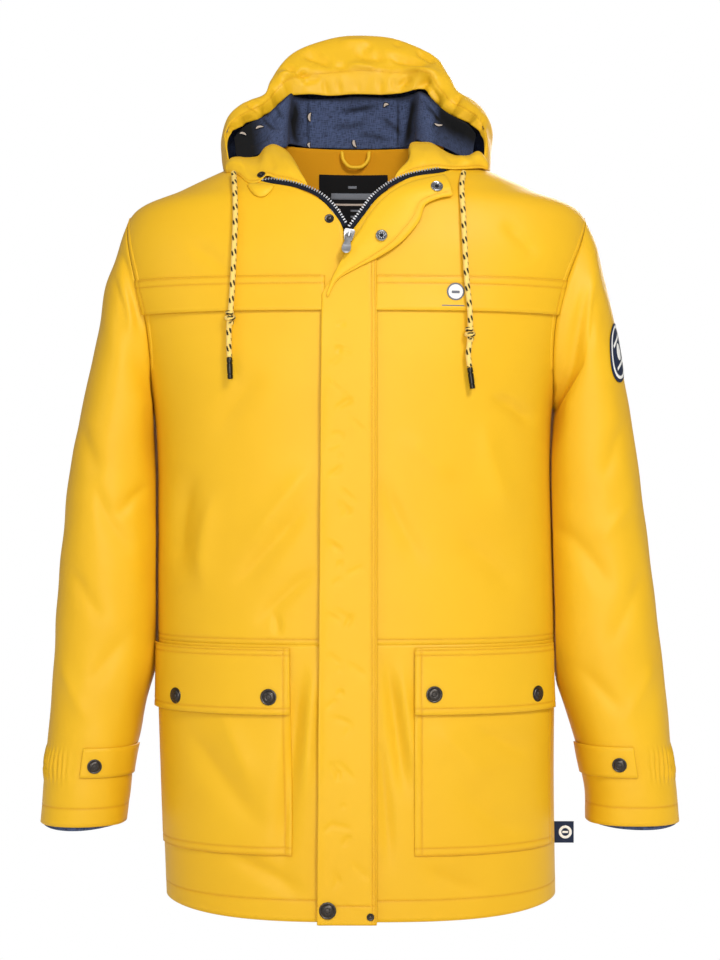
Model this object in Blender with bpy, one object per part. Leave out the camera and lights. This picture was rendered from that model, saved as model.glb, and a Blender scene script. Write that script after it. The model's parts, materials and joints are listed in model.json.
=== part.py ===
"""Hooded raincoat in its hollow worn shape: coated cloth walls, a storm placket turned back at
the neck, flap pockets, cuff tabs, and a lined hood that stands folded behind an open zip.

Units are metres. X runs to the wearer's left, -Y is the front and +Z is up. The origin is at the
neck between the shoulders, where a wearer holds the coat up. Every cloth piece is a closed wall
made from a grid of points on one smooth body form, so pieces that lie on a panel share its points.
"""

import math

import bmesh
import bpy
from mathutils import Matrix, Vector

# ---------------------------------------------------------------- driving dimensions
CLOTH = 0.0016            # wall of the coated body cloth
TRIM = 0.0015             # wall of flaps, yokes and other sewn-on layers
SEAM_GAP = 0.0003         # air between two pieces that are sewn together
LAYER_GAP = 0.0004        # air between a panel and a layer on it
ROUNDNESS = 2.5           # exponent of the body's sections: 2 is an ellipse, more is squarer
FRONT_EDGE_X = -0.0145    # line of the closed zip
WAIST_Z = -0.5440         # waist seam
YOKE_SEAM_Z = -0.1530
YOKE_EDGE_Z = -0.1900
POCKET_TOP_Z = -0.5800
POCKET_BOTTOM_Z = -0.7670
FLAP_TOP_Z = -0.5475
FLAP_EDGE_Z = -0.6175
HEM_SIDE_Z = -0.8260
HEM_FRONT_DROP = 0.0100   # the hem hangs lower at the middle of the front and back
NECK_SIDE = (0.1050, -0.0104)   # x and z of the neck's side point on the shoulder ridge
NECK_BACK_Z = -0.0150

# Armhole: an upright oval in the side of the body, set out by an angle from the shoulder tip.
ARMHOLE_MIDDLE_Z = -0.1835
ARMHOLE_HALF_HEIGHT = 0.1065
ARMHOLE_FRONT = 0.0720
ARMHOLE_BACK = 0.0740
ARMHOLE_ANGLES = (0, 8, 16, 26, 37, 49, 61, 73.4, 93.5, 120, 150, 180)

# Body sections, top to bottom: height, middle x, half width, depth in front, depth behind.
BODY_SECTIONS = (
    (0.0000, -0.0020, 0.0780, 0.0620, 0.0660),
    (-0.0270, -0.0040, 0.1480, 0.0880, 0.0860),
    (-0.0500, -0.0030, 0.1980, 0.1040, 0.1000),
    (-0.0770, -0.0030, 0.2514, 0.1160, 0.1100),
    (-0.1100, -0.0060, 0.2600, 0.1250, 0.1180),
    (-0.1500, -0.0095, 0.2570, 0.1310, 0.1240),
    (-0.2000, -0.0100, 0.2430, 0.1360, 0.1290),
    (-0.2400, -0.0090, 0.2320, 0.1390, 0.1320),
    (-0.2900, -0.0080, 0.2220, 0.1400, 0.1330),
    (-0.3600, -0.0065, 0.2185, 0.1390, 0.1310),
    (-0.4000, -0.0060, 0.2190, 0.1380, 0.1300),
    (-0.5440, -0.0040, 0.2206, 0.1360, 0.1310),
    (-0.7000, -0.0022, 0.2180, 0.1370, 0.1340),
    (-0.8600, 0.0020, 0.2160, 0.1380, 0.1370),
)

# Folds of the body cloth: top x, top z, bottom x, bottom z, half width, depth (minus is a trough),
# and the side of the body, -1 in front and 1 behind.
BODY_FOLDS = (
    (-0.0620, -0.5700, -0.0740, -0.8400, 0.0200, -0.0040, -1),
    (0.0330, -0.5700, 0.0440, -0.8400, 0.0200, -0.0045, -1),
    (-0.1050, -0.2700, -0.0500, -0.4700, 0.0260, -0.0035, -1),
    (0.1700, -0.2500, 0.0700, -0.3700, 0.0260, -0.0040, -1),
    (0.1500, -0.3600, 0.0500, -0.4700, 0.0260, 0.0030, -1),
    (-0.1700, -0.3000, -0.0900, -0.4600, 0.0260, 0.0030, -1),
    (-0.1100, -0.2200, -0.0700, -0.4800, 0.0300, -0.0040, 1),
    (0.1100, -0.2200, 0.0800, -0.4800, 0.0300, -0.0040, 1),
    (-0.0700, -0.5700, -0.0900, -0.8400, 0.0260, -0.0050, 1),
    (0.0700, -0.5700, 0.0850, -0.8400, 0.0260, -0.0050, 1),
    (0.0000, -0.5700, 0.0000, -0.8400, 0.0300, 0.0030, 1),
)

# Front edge of each half, bottom to top: edge x, edge z, then the height at the side seam, or the
# armhole angle where the outer side of the row lies on the armhole.
FRONT_ROWS = {
    "r": (
        (FRONT_EDGE_X, WAIST_Z + SEAM_GAP, WAIST_Z + SEAM_GAP, None),
        (FRONT_EDGE_X, -0.4700, -0.4700, None),
        (FRONT_EDGE_X, -0.4000, -0.4000, None),
        (FRONT_EDGE_X, -0.3400, -0.3400, None),
        (FRONT_EDGE_X, -0.2900, None, 180),
        (FRONT_EDGE_X, -0.2550, None, 150),
        (FRONT_EDGE_X, -0.2220, None, 120),
        (FRONT_EDGE_X, YOKE_EDGE_Z, None, 93.5),
        (FRONT_EDGE_X, YOKE_SEAM_Z, None, 73.4),
        (FRONT_EDGE_X, -0.1290, None, 61),
        (-0.0190, -0.1010, None, 49),
        (-0.0293, -0.0843, None, 37),
        (-0.0418, -0.0709, None, 26),
        (-0.0676, -0.0576, None, 16),
        (-0.0950, -0.0512, None, 8),
        (-NECK_SIDE[0], NECK_SIDE[1], None, 0),
    ),
    "l": (
        (FRONT_EDGE_X, WAIST_Z + SEAM_GAP, WAIST_Z + SEAM_GAP, None),
        (FRONT_EDGE_X, -0.4700, -0.4700, None),
        (FRONT_EDGE_X, -0.4000, -0.4000, None),
        (FRONT_EDGE_X, -0.3400, -0.3400, None),
        (FRONT_EDGE_X, -0.2900, None, 180),
        (FRONT_EDGE_X, -0.2550, None, 150),
        (FRONT_EDGE_X, -0.2220, None, 120),
        (FRONT_EDGE_X, YOKE_EDGE_Z, None, 93.5),
        (FRONT_EDGE_X, YOKE_SEAM_Z, None, 73.4),
        (FRONT_EDGE_X, -0.1290, None, 61),
        (-0.0082, -0.1055, None, 49),
        (0.0042, -0.0880, None, 37),
        (0.0185, -0.0690, None, 26),
        (0.0423, -0.0511, None, 16),
        (0.0897, -0.0374, None, 8),
        (NECK_SIDE[0], NECK_SIDE[1], None, 0),
    ),
}

# Columns of each front from its edge to the side seam, as shares of the way round.
FRONT_COLUMNS = {
    "r": (0, 0.10, 0.19, 0.285, 0.39, 0.50, 0.60, 0.69, 0.78, 0.86, 0.92, 0.965, 0.99, 1),
    "l": (0, 0.155, 0.235, 0.313, 0.41, 0.50, 0.60, 0.69, 0.78, 0.86, 0.92, 0.965, 0.99, 1),
}
SKIRT_ROWS = (WAIST_Z - SEAM_GAP, FLAP_TOP_Z, POCKET_TOP_Z, FLAP_EDGE_Z, -0.6650, -0.7150,
              POCKET_BOTTOM_Z, -0.7980)
POCKET_COLUMNS = {"r": (3, 12), "l": (3, 11)}
YOKE_COLUMNS = {"r": (1, 13), "l": (1, 13)}

# Sleeves, shoulder to cuff: outer x, outer z, inner x, inner z, middle y, half depth, and gather.
SLEEVE_SECTIONS = {
    "r": (
        (-0.2722, -0.1225, -0.2310, -0.2985, 0.000, 0.0755, 0),
        (-0.2811, -0.1471, -0.2325, -0.3110, 0.000, 0.0765, 0),
        (-0.2912, -0.2020, -0.2330, -0.3300, 0.001, 0.0775, 0),
        (-0.3058, -0.2703, -0.2310, -0.3600, 0.001, 0.0775, 0),
        (-0.3237, -0.3622, -0.2285, -0.4050, 0.000, 0.0760, 0),
        (-0.3304, -0.4260, -0.2285, -0.4450, -0.002, 0.0735, 0),
        (-0.3338, -0.4674, -0.2290, -0.4780, -0.004, 0.0710, 0),
        (-0.3382, -0.5268, -0.2312, -0.5320, -0.007, 0.0675, 0),
        (-0.3405, -0.5694, -0.2338, -0.5730, -0.009, 0.0645, 0),
        (-0.3444, -0.6287, -0.2437, -0.6300, -0.011, 0.0615, 0),
        (-0.3475, -0.6612, -0.2472, -0.6612, -0.013, 0.0595, 0),
        (-0.3490, -0.6770, -0.2500, -0.6770, -0.014, 0.0575, 1),
        (-0.3500, -0.6930, -0.2530, -0.6930, -0.014, 0.0570, 1),
        (-0.3517, -0.7138, -0.2553, -0.7138, -0.015, 0.0565, 0.5),
        (-0.3545, -0.7470, -0.2593, -0.7470, -0.015, 0.0555, 0),
    ),
    "l": (
        (0.2625, -0.1060, 0.2250, -0.2985, 0.000, 0.0755, 0),
        (0.2722, -0.1460, 0.2240, -0.3110, 0.000, 0.0765, 0),
        (0.2830, -0.1920, 0.2215, -0.3300, 0.001, 0.0775, 0),
        (0.2965, -0.2670, 0.2175, -0.3550, 0.001, 0.0775, 0),
        (0.3114, -0.3622, 0.2155, -0.4000, 0.000, 0.0760, 0),
        (0.3175, -0.4150, 0.2158, -0.4400, -0.002, 0.0735, 0),
        (0.3244, -0.4674, 0.2175, -0.4780, -0.004, 0.0710, 0),
        (0.3310, -0.5210, 0.2195, -0.5270, -0.007, 0.0675, 0),
        (0.3360, -0.5694, 0.2228, -0.5730, -0.009, 0.0645, 0),
        (0.3416, -0.6210, 0.2323, -0.6220, -0.011, 0.0615, 0),
        (0.3450, -0.6600, 0.2401, -0.6600, -0.013, 0.0595, 0),
        (0.3470, -0.6770, 0.2430, -0.6770, -0.014, 0.0575, 1),
        (0.3490, -0.6930, 0.2465, -0.6930, -0.014, 0.0570, 1),
        (0.3515, -0.7138, 0.2505, -0.7138, -0.015, 0.0565, 0.5),
        (0.3545, -0.7460, 0.2504, -0.7460, -0.015, 0.0555, 0),
    ),
}
SLEEVE_ROUNDNESS = 2.2
GATHER_DEPTH = 0.0018     # ridge height of the elastic gathers on the outer side of a cuff
GATHER_ANGLE = 75

# Folds of each sleeve: start row, start angle, end row, end angle, half width in degrees, depth.
# The angle runs from the outer side (0) over the front (90) to the inner side (180).
SLEEVE_FOLDS = {
    "r": ((1, 20, 4, 120, 22, -0.0060), (2, 20, 5, 95, 20, 0.0040), (7, 60, 9, 140, 24, -0.0040)),
    "l": ((1, 25, 4, 110, 22, -0.0045), (6, 50, 9, 130, 26, -0.0040), (4, 70, 7, 150, 24, 0.003)),
}

# Hood, from the wearer's right foot over the crown to the left foot. Columns: mouth edge x, y, z;
# outermost rim x, y, z; back of the hood x, y, z; nape seam x, y.
HOOD_NAPE_Z = -0.0146
HOOD_SEAT = 0.0008        # height of the hood's foot over the shoulders
HOOD_STATIONS = (
    (-0.1405, -0.0520, -0.0235, -0.1515, -0.0220, -0.0235, -0.142, 0.030, -0.018, -0.1220, 0.0300),
    (-0.1460, -0.0380, -0.0060, -0.1535, -0.0120, -0.0080, -0.144, 0.045, -0.008, -0.1180, 0.0360),
    (-0.1450, -0.0120, 0.0160, -0.1545, 0.0020, 0.0170, -0.144, 0.058, 0.004, -0.1120, 0.0420),
    (-0.1370, 0.0040, 0.0250, -0.1480, 0.0120, 0.0390, -0.135, 0.073, 0.012, -0.1060, 0.0470),
    (-0.1250, 0.0180, 0.0340, -0.1310, 0.0280, 0.0570, -0.122, 0.088, 0.020, -0.0980, 0.0540),
    (-0.1080, 0.0330, 0.0440, -0.1085, 0.0450, 0.0720, -0.102, 0.105, 0.028, -0.0860, 0.0630),
    (-0.0960, 0.0460, 0.0560, -0.1025, 0.0580, 0.0880, -0.088, 0.120, 0.036, -0.0700, 0.0715),
    (-0.0830, 0.0550, 0.0700, -0.0915, 0.0680, 0.1080, -0.074, 0.133, 0.046, -0.0550, 0.0775),
    (-0.0620, 0.0580, 0.0730, -0.0720, 0.0780, 0.1260, -0.056, 0.143, 0.052, -0.0400, 0.0805),
    (-0.0320, 0.0600, 0.0720, -0.0360, 0.0860, 0.1400, -0.028, 0.150, 0.058, -0.0200, 0.0825),
    (-0.0020, 0.0600, 0.0740, 0.0000, 0.0880, 0.1440, 0.000, 0.152, 0.060, 0.0000, 0.0835),
    (0.0300, 0.0600, 0.0730, 0.0380, 0.0860, 0.1410, 0.028, 0.150, 0.058, 0.0200, 0.0825),
    (0.0540, 0.0580, 0.0760, 0.0690, 0.0800, 0.1290, 0.056, 0.143, 0.052, 0.0400, 0.0805),
    (0.0730, 0.0520, 0.0780, 0.0900, 0.0700, 0.1150, 0.074, 0.133, 0.046, 0.0550, 0.0775),
    (0.0850, 0.0460, 0.0620, 0.1010, 0.0600, 0.0960, 0.088, 0.120, 0.036, 0.0700, 0.0715),
    (0.0980, 0.0330, 0.0480, 0.1100, 0.0470, 0.0760, 0.102, 0.105, 0.028, 0.0860, 0.0630),
    (0.1130, 0.0180, 0.0380, 0.1270, 0.0320, 0.0620, 0.122, 0.088, 0.020, 0.0980, 0.0540),
    (0.1250, 0.0040, 0.0290, 0.1400, 0.0160, 0.0450, 0.135, 0.073, 0.012, 0.1060, 0.0470),
    (0.1330, -0.0120, 0.0180, 0.1470, 0.0040, 0.0240, 0.142, 0.058, 0.004, 0.1120, 0.0420),
    (0.1370, -0.0320, 0.0020, 0.1460, -0.0100, 0.0000, 0.141, 0.045, -0.008, 0.1180, 0.0360),
    (0.1350, -0.0500, -0.0200, 0.1440, -0.0220, -0.0195, 0.139, 0.030, -0.015, 0.1220, 0.0300),
)
HOOD_RISE = 0.0035        # how far the brim's roll stands above its edge

# Hood lining from the wearer's right to left: top (x, y, z) and foot (x, y, z).
LINING_STATIONS = (
    ((-0.1400, -0.006, 0.0130), (-0.1365, -0.032, -0.0150)),
    ((-0.1325, 0.008, 0.0250), (-0.1260, -0.022, -0.0130)),
    ((-0.1224, 0.0195, 0.0343), (-0.1160, -0.016, -0.0080)),
    ((-0.1040, 0.030, 0.0460), (-0.1040, -0.014, -0.0020)),
    ((-0.0920, 0.034, 0.0580), (-0.0930, -0.012, 0.0000)),
    ((-0.0800, 0.042, 0.0700), (-0.0830, 0.004, 0.0040)),
    ((-0.0740, 0.060, 0.0700), (-0.0785, 0.040, 0.0130)),
    ((-0.0590, 0.066, 0.0690), (-0.0610, 0.061, 0.0130)),
    ((-0.0300, 0.066, 0.0690), (-0.0310, 0.071, 0.0130)),
    ((-0.0020, 0.066, 0.0710), (-0.0020, 0.074, 0.0130)),
    ((0.0280, 0.066, 0.0700), (0.0270, 0.072, 0.0130)),
    ((0.0450, 0.066, 0.0700), (0.0450, 0.067, 0.0130)),
    ((0.0600, 0.060, 0.0730), (0.0600, 0.042, 0.0130)),
    ((0.0690, 0.044, 0.0730), (0.0640, 0.012, 0.0130)),
    ((0.0810, 0.034, 0.0640), (0.0740, -0.010, 0.0060)),
    ((0.0930, 0.024, 0.0500), (0.0860, -0.014, 0.0040)),
    ((0.1080, 0.012, 0.0380), (0.0990, -0.018, -0.0020)),
    ((0.1200, -0.004, 0.0280), (0.1130, -0.024, -0.0100)),
    ((0.1280, -0.018, 0.0150), (0.1240, -0.032, -0.0115)),
)

LINING_BOW = 0.0040       # how far the lining bows to the back between its top and its foot
LINING_SHIFT = 0.0005     # sets its top edge close under the hood's mouth

# Collar facings, outer end to the zip: foot (x, y, z), top (x, y, z).
COLLAR_STATIONS = {
    "r": (
        ((-0.1300, -0.0680, -0.0330), (-0.1340, -0.0490, -0.0170)),
        ((-0.1200, -0.0900, -0.0490), (-0.1240, -0.0440, -0.0150)),
        ((-0.1100, -0.0860, -0.0490), (-0.1130, -0.0400, -0.0130)),
        ((-0.1000, -0.0880, -0.0408), (-0.1050, -0.0360, -0.0030)),
        ((-0.0900, -0.0900, -0.0445), (-0.0965, -0.0360, 0.0010)),
        ((-0.0790, -0.0930, -0.0460), (-0.0850, -0.0420, -0.0040)),
        ((-0.0690, -0.0960, -0.0485), (-0.0740, -0.0600, -0.0170)),
        ((-0.0570, -0.0990, -0.0530), (-0.0610, -0.0880, -0.0440)),
    ),
    "l": (
        ((0.1330, -0.0580, -0.0270), (0.1290, -0.0450, -0.0075)),
        ((0.1200, -0.0720, -0.0310), (0.1180, -0.0430, -0.0130)),
        ((0.1070, -0.0800, -0.0325), (0.1050, -0.0410, -0.0125)),
        ((0.0940, -0.0830, -0.0268), (0.0920, -0.0380, -0.0060)),
        ((0.0820, -0.0850, -0.0325), (0.0790, -0.0370, 0.0020)),
        ((0.0710, -0.0870, -0.0350), (0.0680, -0.0380, 0.0030)),
        ((0.0600, -0.0890, -0.0380), (0.0560, -0.0440, 0.0010)),
        ((0.0490, -0.0920, -0.0380), (0.0515, -0.0600, -0.0180)),
        ((0.0380, -0.0960, -0.0410), (0.0420, -0.0860, -0.0370)),
    ),
}
COLLAR_BULGE = 0.007
COLLAR_SEAT = 0.0009      # from the zip tape's inner edge up to the facing's foot
ZIP_TAPE_START = 0.0012   # the open tape's outer and inner edge, from the front's neck edge
ZIP_TAPE_REACH = 0.0074

# Turned-back top of the placket, fold to top end: zip side (x, z), free edge (x, z), stand-off.
TURNBACK_STATIONS = (
    (-0.0352, -0.1740, -0.0338, -0.1770, 0.0066),
    (-0.0292, -0.1570, -0.0235, -0.1590, 0.0068),
    (-0.0205, -0.1395, -0.0040, -0.1470, 0.0070),
    (-0.0120, -0.1240, 0.0175, -0.1360, 0.0072),
    (-0.0005, -0.1070, 0.0395, -0.1220, 0.0072),
    (0.0095, -0.0905, 0.0540, -0.1075, 0.0068),
    (0.0215, -0.0750, 0.0640, -0.0930, 0.0062),
    (0.0350, -0.0635, 0.0690, -0.0785, 0.0056),
    (0.0520, -0.0545, 0.0830, -0.0710, 0.0052),
    (0.0720, -0.0480, 0.0960, -0.0680, 0.0050),
    (0.0900, -0.0440, 0.0985, -0.0670, 0.0050),
)

# Drawcords: the route's own points from the hood seam down to the knot (x, z, stand-off).
CORD_DIAMETER = 0.0058
CORD_ROUTES = {
    "r": ((-0.1356, -0.0400, 0.0042), (-0.1338, -0.0560, 0.0046), (-0.1318, -0.0930, 0.0056),
          (-0.1326, -0.1283, 0.0062), (-0.1334, -0.1570, 0.0070), (-0.1346, -0.1870, 0.0088)),
    "l": ((0.1110, -0.0400, 0.0036), (0.1084, -0.0560, 0.0042), (0.1092, -0.0880, 0.0056),
          (0.1101, -0.1175, 0.0062), (0.1113, -0.1510, 0.0070), (0.1145, -0.2050, 0.0088)),
}
KNOT_SIZE = (0.0060, 0.0050, 0.0095)
CORD_TAILS = {
    "r": ((-0.1364, -0.2085, 0.0086), (-0.1364, -0.2244, 0.0086), (-0.1357, -0.2395, 0.0086)),
    "l": ((0.1135, -0.2255, 0.0086), (0.1122, -0.2380, 0.0086), (0.1136, -0.2500, 0.0086)),
}
TIP_LENGTH = 0.0230
TIP_RADIUS = 0.0031

# Snap fasteners: name, x, z, stand-off of the layer beneath, radius, height.
SNAP_CAPS = (
    ("snap_flap_r_outer", -0.1950, -0.6020, 0.0042, 0.0088, 0.0034),
    ("snap_flap_r_inner", -0.0959, -0.5990, 0.0042, 0.0088, 0.0034),
    ("snap_flap_l_inner", 0.0778, -0.5960, 0.0042, 0.0088, 0.0034),
    ("snap_flap_l_outer", 0.1880, -0.6000, 0.0042, 0.0088, 0.0034),
    ("snap_placket_hem", -0.0340, -0.8234, 0.0045, 0.0092, 0.0036),
    ("snap_hem_stud", 0.0110, -0.8300, 0.0045, 0.0040, 0.0026),
    ("snap_stud_front", -0.0327, -0.0915, 0.0004, 0.0050, 0.0030),
)
SNAP_SOCKETS = (
    ("snap_socket_upper", 0.0810, -0.0605, 0.0066, 0.0024),
    ("snap_socket_lower", 0.0225, -0.1130, 0.0062, 0.0024),
)
CUFF_SNAPS = {"r": (-0.2890, -0.6805), "l": (0.2826, -0.6790)}
CUFF_SNAP_RADIUS = 0.0080
HANGER_LOOP = ((-0.0210, 0.0680, 0.0080), (-0.0190, 0.0660, -0.0020), (-0.0120, 0.0645, -0.0095),
               (-0.0050, 0.0640, -0.0105), (0.0020, 0.0645, -0.0095), (0.0090, 0.0660, -0.0020),
               (0.0105, 0.0680, 0.0080))

# Zip slider and its pull tab, in their own frame: X across, Y to the cloth, Z up the zip.
SLIDER_PLACE = (-0.0116, -0.1100)
SLIDER_TILT = math.radians(10)
SLIDER_LEAN = math.radians(9)
SLIDER_SIZE = (0.0110, 0.0026, 0.0125)
BRIDGE_WIDTH = 0.0020
BRIDGE_BAR = 0.0012
BRIDGE_REACH = 0.0032     # from the hinge line to the outside of each post
HINGE_STAND = 0.0017      # from the slider's face to the hinge line
TAB_THICKNESS = 0.0014
TAB_EYE = (0.0021, 0.0048)      # half width of the eye, and its far end from the hinge line
TAB_BAR = 0.0008
TAB_LENGTH = 0.0225
TAB_LEAN = math.radians(26)     # the tab rests outward on the turned-back placket

SIDE_LABEL = (0.2172, 0.2392, -0.7755, -0.7515)   # x from and to, z from and to
COLORS = {
    "coated cloth": ((0.93, 0.52, 0.02), 0.42, 0.0),
    "coated facing": ((0.95, 0.58, 0.04), 0.45, 0.0),
    "lining": ((0.045, 0.075, 0.17), 0.90, 0.0),
    "zip tape": ((0.02, 0.025, 0.05), 0.85, 0.0),
    "snap metal": ((0.16, 0.16, 0.17), 0.30, 1.0),
    "nickel": ((0.70, 0.70, 0.69), 0.22, 1.0),
    "cord": ((0.90, 0.66, 0.18), 0.80, 0.0),
    "cord tip": ((0.05, 0.05, 0.055), 0.35, 1.0),
    "black label": ((0.008, 0.008, 0.009), 0.80, 0.0),
    "navy label": ((0.02, 0.04, 0.12), 0.70, 0.0),
}


# ---------------------------------------------------------------- materials and meshes
def material(name):
    """One Principled material for each kind of stuff, made once."""
    found = bpy.data.materials.get(name)
    if found:
        return found
    color, roughness, metallic = COLORS[name]
    made = bpy.data.materials.new(name)
    made.use_nodes = True
    shader = made.node_tree.nodes["Principled BSDF"]
    shader.inputs["Base Color"].default_value = (*color, 1)
    shader.inputs["Roughness"].default_value = roughness
    shader.inputs["Metallic"].default_value = metallic
    return made


def add_object(name, vertices, faces, stuff):
    """Make a named object, with its faces turned outward and its round sides shaded smooth."""
    mesh = bpy.data.meshes.new(name)
    mesh.from_pydata([tuple(v) for v in vertices], [], faces)
    form = bmesh.new()
    form.from_mesh(mesh)
    bmesh.ops.recalc_face_normals(form, faces=form.faces)
    if form.calc_volume(signed=True) < 0:
        bmesh.ops.reverse_faces(form, faces=form.faces)
    form.to_mesh(mesh)
    form.free()
    mesh.shade_smooth()
    mesh.set_sharp_from_angle(angle=math.radians(50))
    mesh.materials.append(material(stuff))
    made = bpy.data.objects.new(name, mesh)
    bpy.context.scene.collection.objects.link(made)
    return made


def wall(name, outer, normals, thickness, stuff, closed=False):
    """Close a wall of cloth: `outer` is rows of points and the inside lies a thickness behind."""
    rows = len(outer)
    columns = len(outer[0])
    inner = [[p - n * thickness for p, n in zip(row, ways)] for row, ways in zip(outer, normals)]
    vertices = [p for row in outer for p in row] + [p for row in inner for p in row]
    back = rows * columns
    faces = []

    def corner(row, column, side):
        return side * back + row * columns + column % columns

    def quad(a, b, c, d):
        faces.append((a, b, c))
        faces.append((a, c, d))

    spans = columns if closed else columns - 1
    for row in range(rows - 1):
        for column in range(spans):
            ring = [(row, column), (row, column + 1), (row + 1, column + 1), (row + 1, column)]
            quad(*[corner(r, c, 0) for r, c in ring])
            a, b, c, d = [corner(r, c, 1) for r, c in ring]
            faces.append((c, b, a))
            faces.append((d, c, a))
    for column in range(spans):
        for row in (0, rows - 1):
            a, b = corner(row, column, 0), corner(row, column + 1, 0)
            c, d = corner(row, column + 1, 1), corner(row, column, 1)
            quad(a, d, c, b) if row == 0 else quad(a, b, c, d)
    if not closed:
        for row in range(rows - 1):
            for column in (0, columns - 1):
                a, b = corner(row, column, 0), corner(row + 1, column, 0)
                c, d = corner(row + 1, column, 1), corner(row, column, 1)
                quad(a, b, c, d) if column == 0 else quad(a, d, c, b)
    return add_object(name, vertices, faces, stuff)


def tube(name, points, radius, stuff):
    """A round cord or tape along points, as a bevelled curve with filled ends."""
    curve = bpy.data.curves.new(name, "CURVE")
    curve.dimensions = "3D"
    curve.bevel_depth = radius
    curve.bevel_resolution = 2
    curve.use_fill_caps = True
    spline = curve.splines.new("POLY")
    spline.points.add(len(points) - 1)
    for spot, point in zip(spline.points, points):
        spot.co = (*point, 1)
    curve.materials.append(material(stuff))
    made = bpy.data.objects.new(name, curve)
    bpy.context.scene.collection.objects.link(made)
    return made


def turned(name, profile, base, axis, stuff, sides=10):
    """A turned solid: profile is (radius, height) from the far end's middle to the near one's."""
    turn = axis.to_track_quat("Z", "X").to_matrix()
    vertices = [base + turn @ Vector((0, 0, profile[0][1]))]
    for radius, height in profile[1:-1]:
        for k in range(sides):
            angle = 2 * math.pi * k / sides
            spot = Vector((radius * math.cos(angle), radius * math.sin(angle), height))
            vertices.append(base + turn @ spot)
    vertices.append(base + turn @ Vector((0, 0, profile[-1][1])))
    rings = len(profile) - 2
    faces = []
    for k in range(sides):
        after = (k + 1) % sides
        faces.append((0, 1 + k, 1 + after))
        for ring in range(rings - 1):
            a, b = 1 + ring * sides, 1 + (ring + 1) * sides
            faces.append((a + k, b + k, b + after, a + after))
        last = 1 + (rings - 1) * sides
        faces.append((len(vertices) - 1, last + after, last + k))
    return add_object(name, vertices, faces, stuff)


def grid_normals(grid, outward, closed=False):
    """Unit normals of a grid of points; the whole grid is turned to the side of `outward`."""
    rows = len(grid)
    columns = len(grid[0])
    normals = []
    agreement = 0
    for r in range(rows):
        line = []
        for c in range(columns):
            if closed:
                right, left = grid[r][(c + 1) % columns], grid[r][c - 1]
            else:
                right, left = grid[r][min(c + 1, columns - 1)], grid[r][max(c - 1, 0)]
            up, down = grid[min(r + 1, rows - 1)][c], grid[max(r - 1, 0)][c]
            normal = (right - left).cross(up - down).normalized()
            agreement += normal.dot(outward(grid[r][c]))
            line.append(normal)
        normals.append(line)
    sign = 1 if agreement > 0 else -1
    return [[n * sign for n in line] for line in normals]


def moved(grid, normals, distance):
    """The same grid, moved out along its normals."""
    return [[p + n * distance for p, n in zip(row, ways)] for row, ways in zip(grid, normals)]


def mix(a, b, share):
    return a + (b - a) * share


def smooth_through(points, steps):
    """Points on a smooth curve through `points` (Catmull-Rom), `steps` to each stretch."""
    ends = [points[0] * 2 - points[1]] + list(points) + [points[-1] * 2 - points[-2]]
    curve = []
    for i in range(len(points) - 1):
        a, b, c, d = ends[i:i + 4]
        for k in range(steps):
            t = k / steps
            curve.append(0.5 * (2 * b + (c - a) * t + (2 * a - 5 * b + 4 * c - d) * t * t
                                + (3 * b - a - 3 * c + d) * t ** 3))
    curve.append(points[-1].copy())
    return curve


# ---------------------------------------------------------------- body form
def section(z):
    """Middle x, half width, front depth and back depth of the body at a height."""
    if z >= BODY_SECTIONS[0][0]:
        return BODY_SECTIONS[0][1:]
    for above, below in zip(BODY_SECTIONS, BODY_SECTIONS[1:]):
        if z >= below[0]:
            share = (above[0] - z) / (above[0] - below[0])
            return tuple(mix(a, b, share) for a, b in zip(above[1:], below[1:]))
    return BODY_SECTIONS[-1][1:]


def across(x, z):
    """Place of x across the body at a height: -1 and 1 are the two sides."""
    middle, half = section(z)[:2]
    return (x - middle) / half


def fold_depth(x, z, side):
    """How far the folds move the cloth out (or in, if minus) at one place."""
    total = 0
    for x0, z0, x1, z1, half, depth, fold_side in BODY_FOLDS:
        if fold_side != side or not z1 < z < z0:
            continue
        along = (z0 - z) / (z0 - z1)
        off = (x - mix(x0, x1, along)) / half
        total += depth * math.exp(-off * off) * min(1, 4 * along) * min(1, 4 * (1 - along) + 0.5)
    return total


def body_point(u, z, side):
    """Point and outward normal of the body form; side is -1 in front and 1 behind."""
    middle, half, front, back = section(z)
    depth = front if side < 0 else back
    u = max(-1, min(1, u))
    x = middle + half * u
    y = side * depth * (1 - abs(u) ** ROUNDNESS) ** (1 / ROUNDNESS)

    def level(px, py, pz):
        m, h, f, b = section(pz)
        d = f if side < 0 else b
        return (abs(px - m) / h) ** ROUNDNESS + (abs(py) / d) ** ROUNDNESS

    step = 0.0005
    slope = Vector((
        level(x + step, y, z) - level(x - step, y, z),
        level(x, y + step, z) - level(x, y - step, z) if abs(y) > step else 0,
        level(x, y, z + 3 * step) / 3 - level(x, y, z - 3 * step) / 3,
    ))
    normal = slope.normalized()
    point = Vector((x, y, z)) + normal * fold_depth(x, z, side)
    return point, normal


def shoulder_height(x, y):
    """Height of the body form above a place near the neck and shoulders."""
    low, high = -0.20, 0.0
    side = -1 if y < 0 else 1
    for _ in range(40):
        z = (low + high) / 2
        middle, half, front, back = section(z)
        depth = front if side < 0 else back
        inside = (abs(x - middle) / half) ** ROUNDNESS + (abs(y) / depth) ** ROUNDNESS < 1
        low, high = (z, high) if inside else (low, z)
    return low


def armhole_place(angle, side):
    """(u, z) of the armhole's edge at an angle from the shoulder tip."""
    turn = math.radians(angle)
    z = ARMHOLE_MIDDLE_Z + ARMHOLE_HALF_HEIGHT * math.cos(turn)
    y = (ARMHOLE_FRONT if side < 0 else ARMHOLE_BACK) * math.sin(turn)
    depth = section(z)[2] if side < 0 else section(z)[3]
    u = (1 - (y / depth) ** ROUNDNESS) ** (1 / ROUNDNESS)
    return u, z


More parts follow.
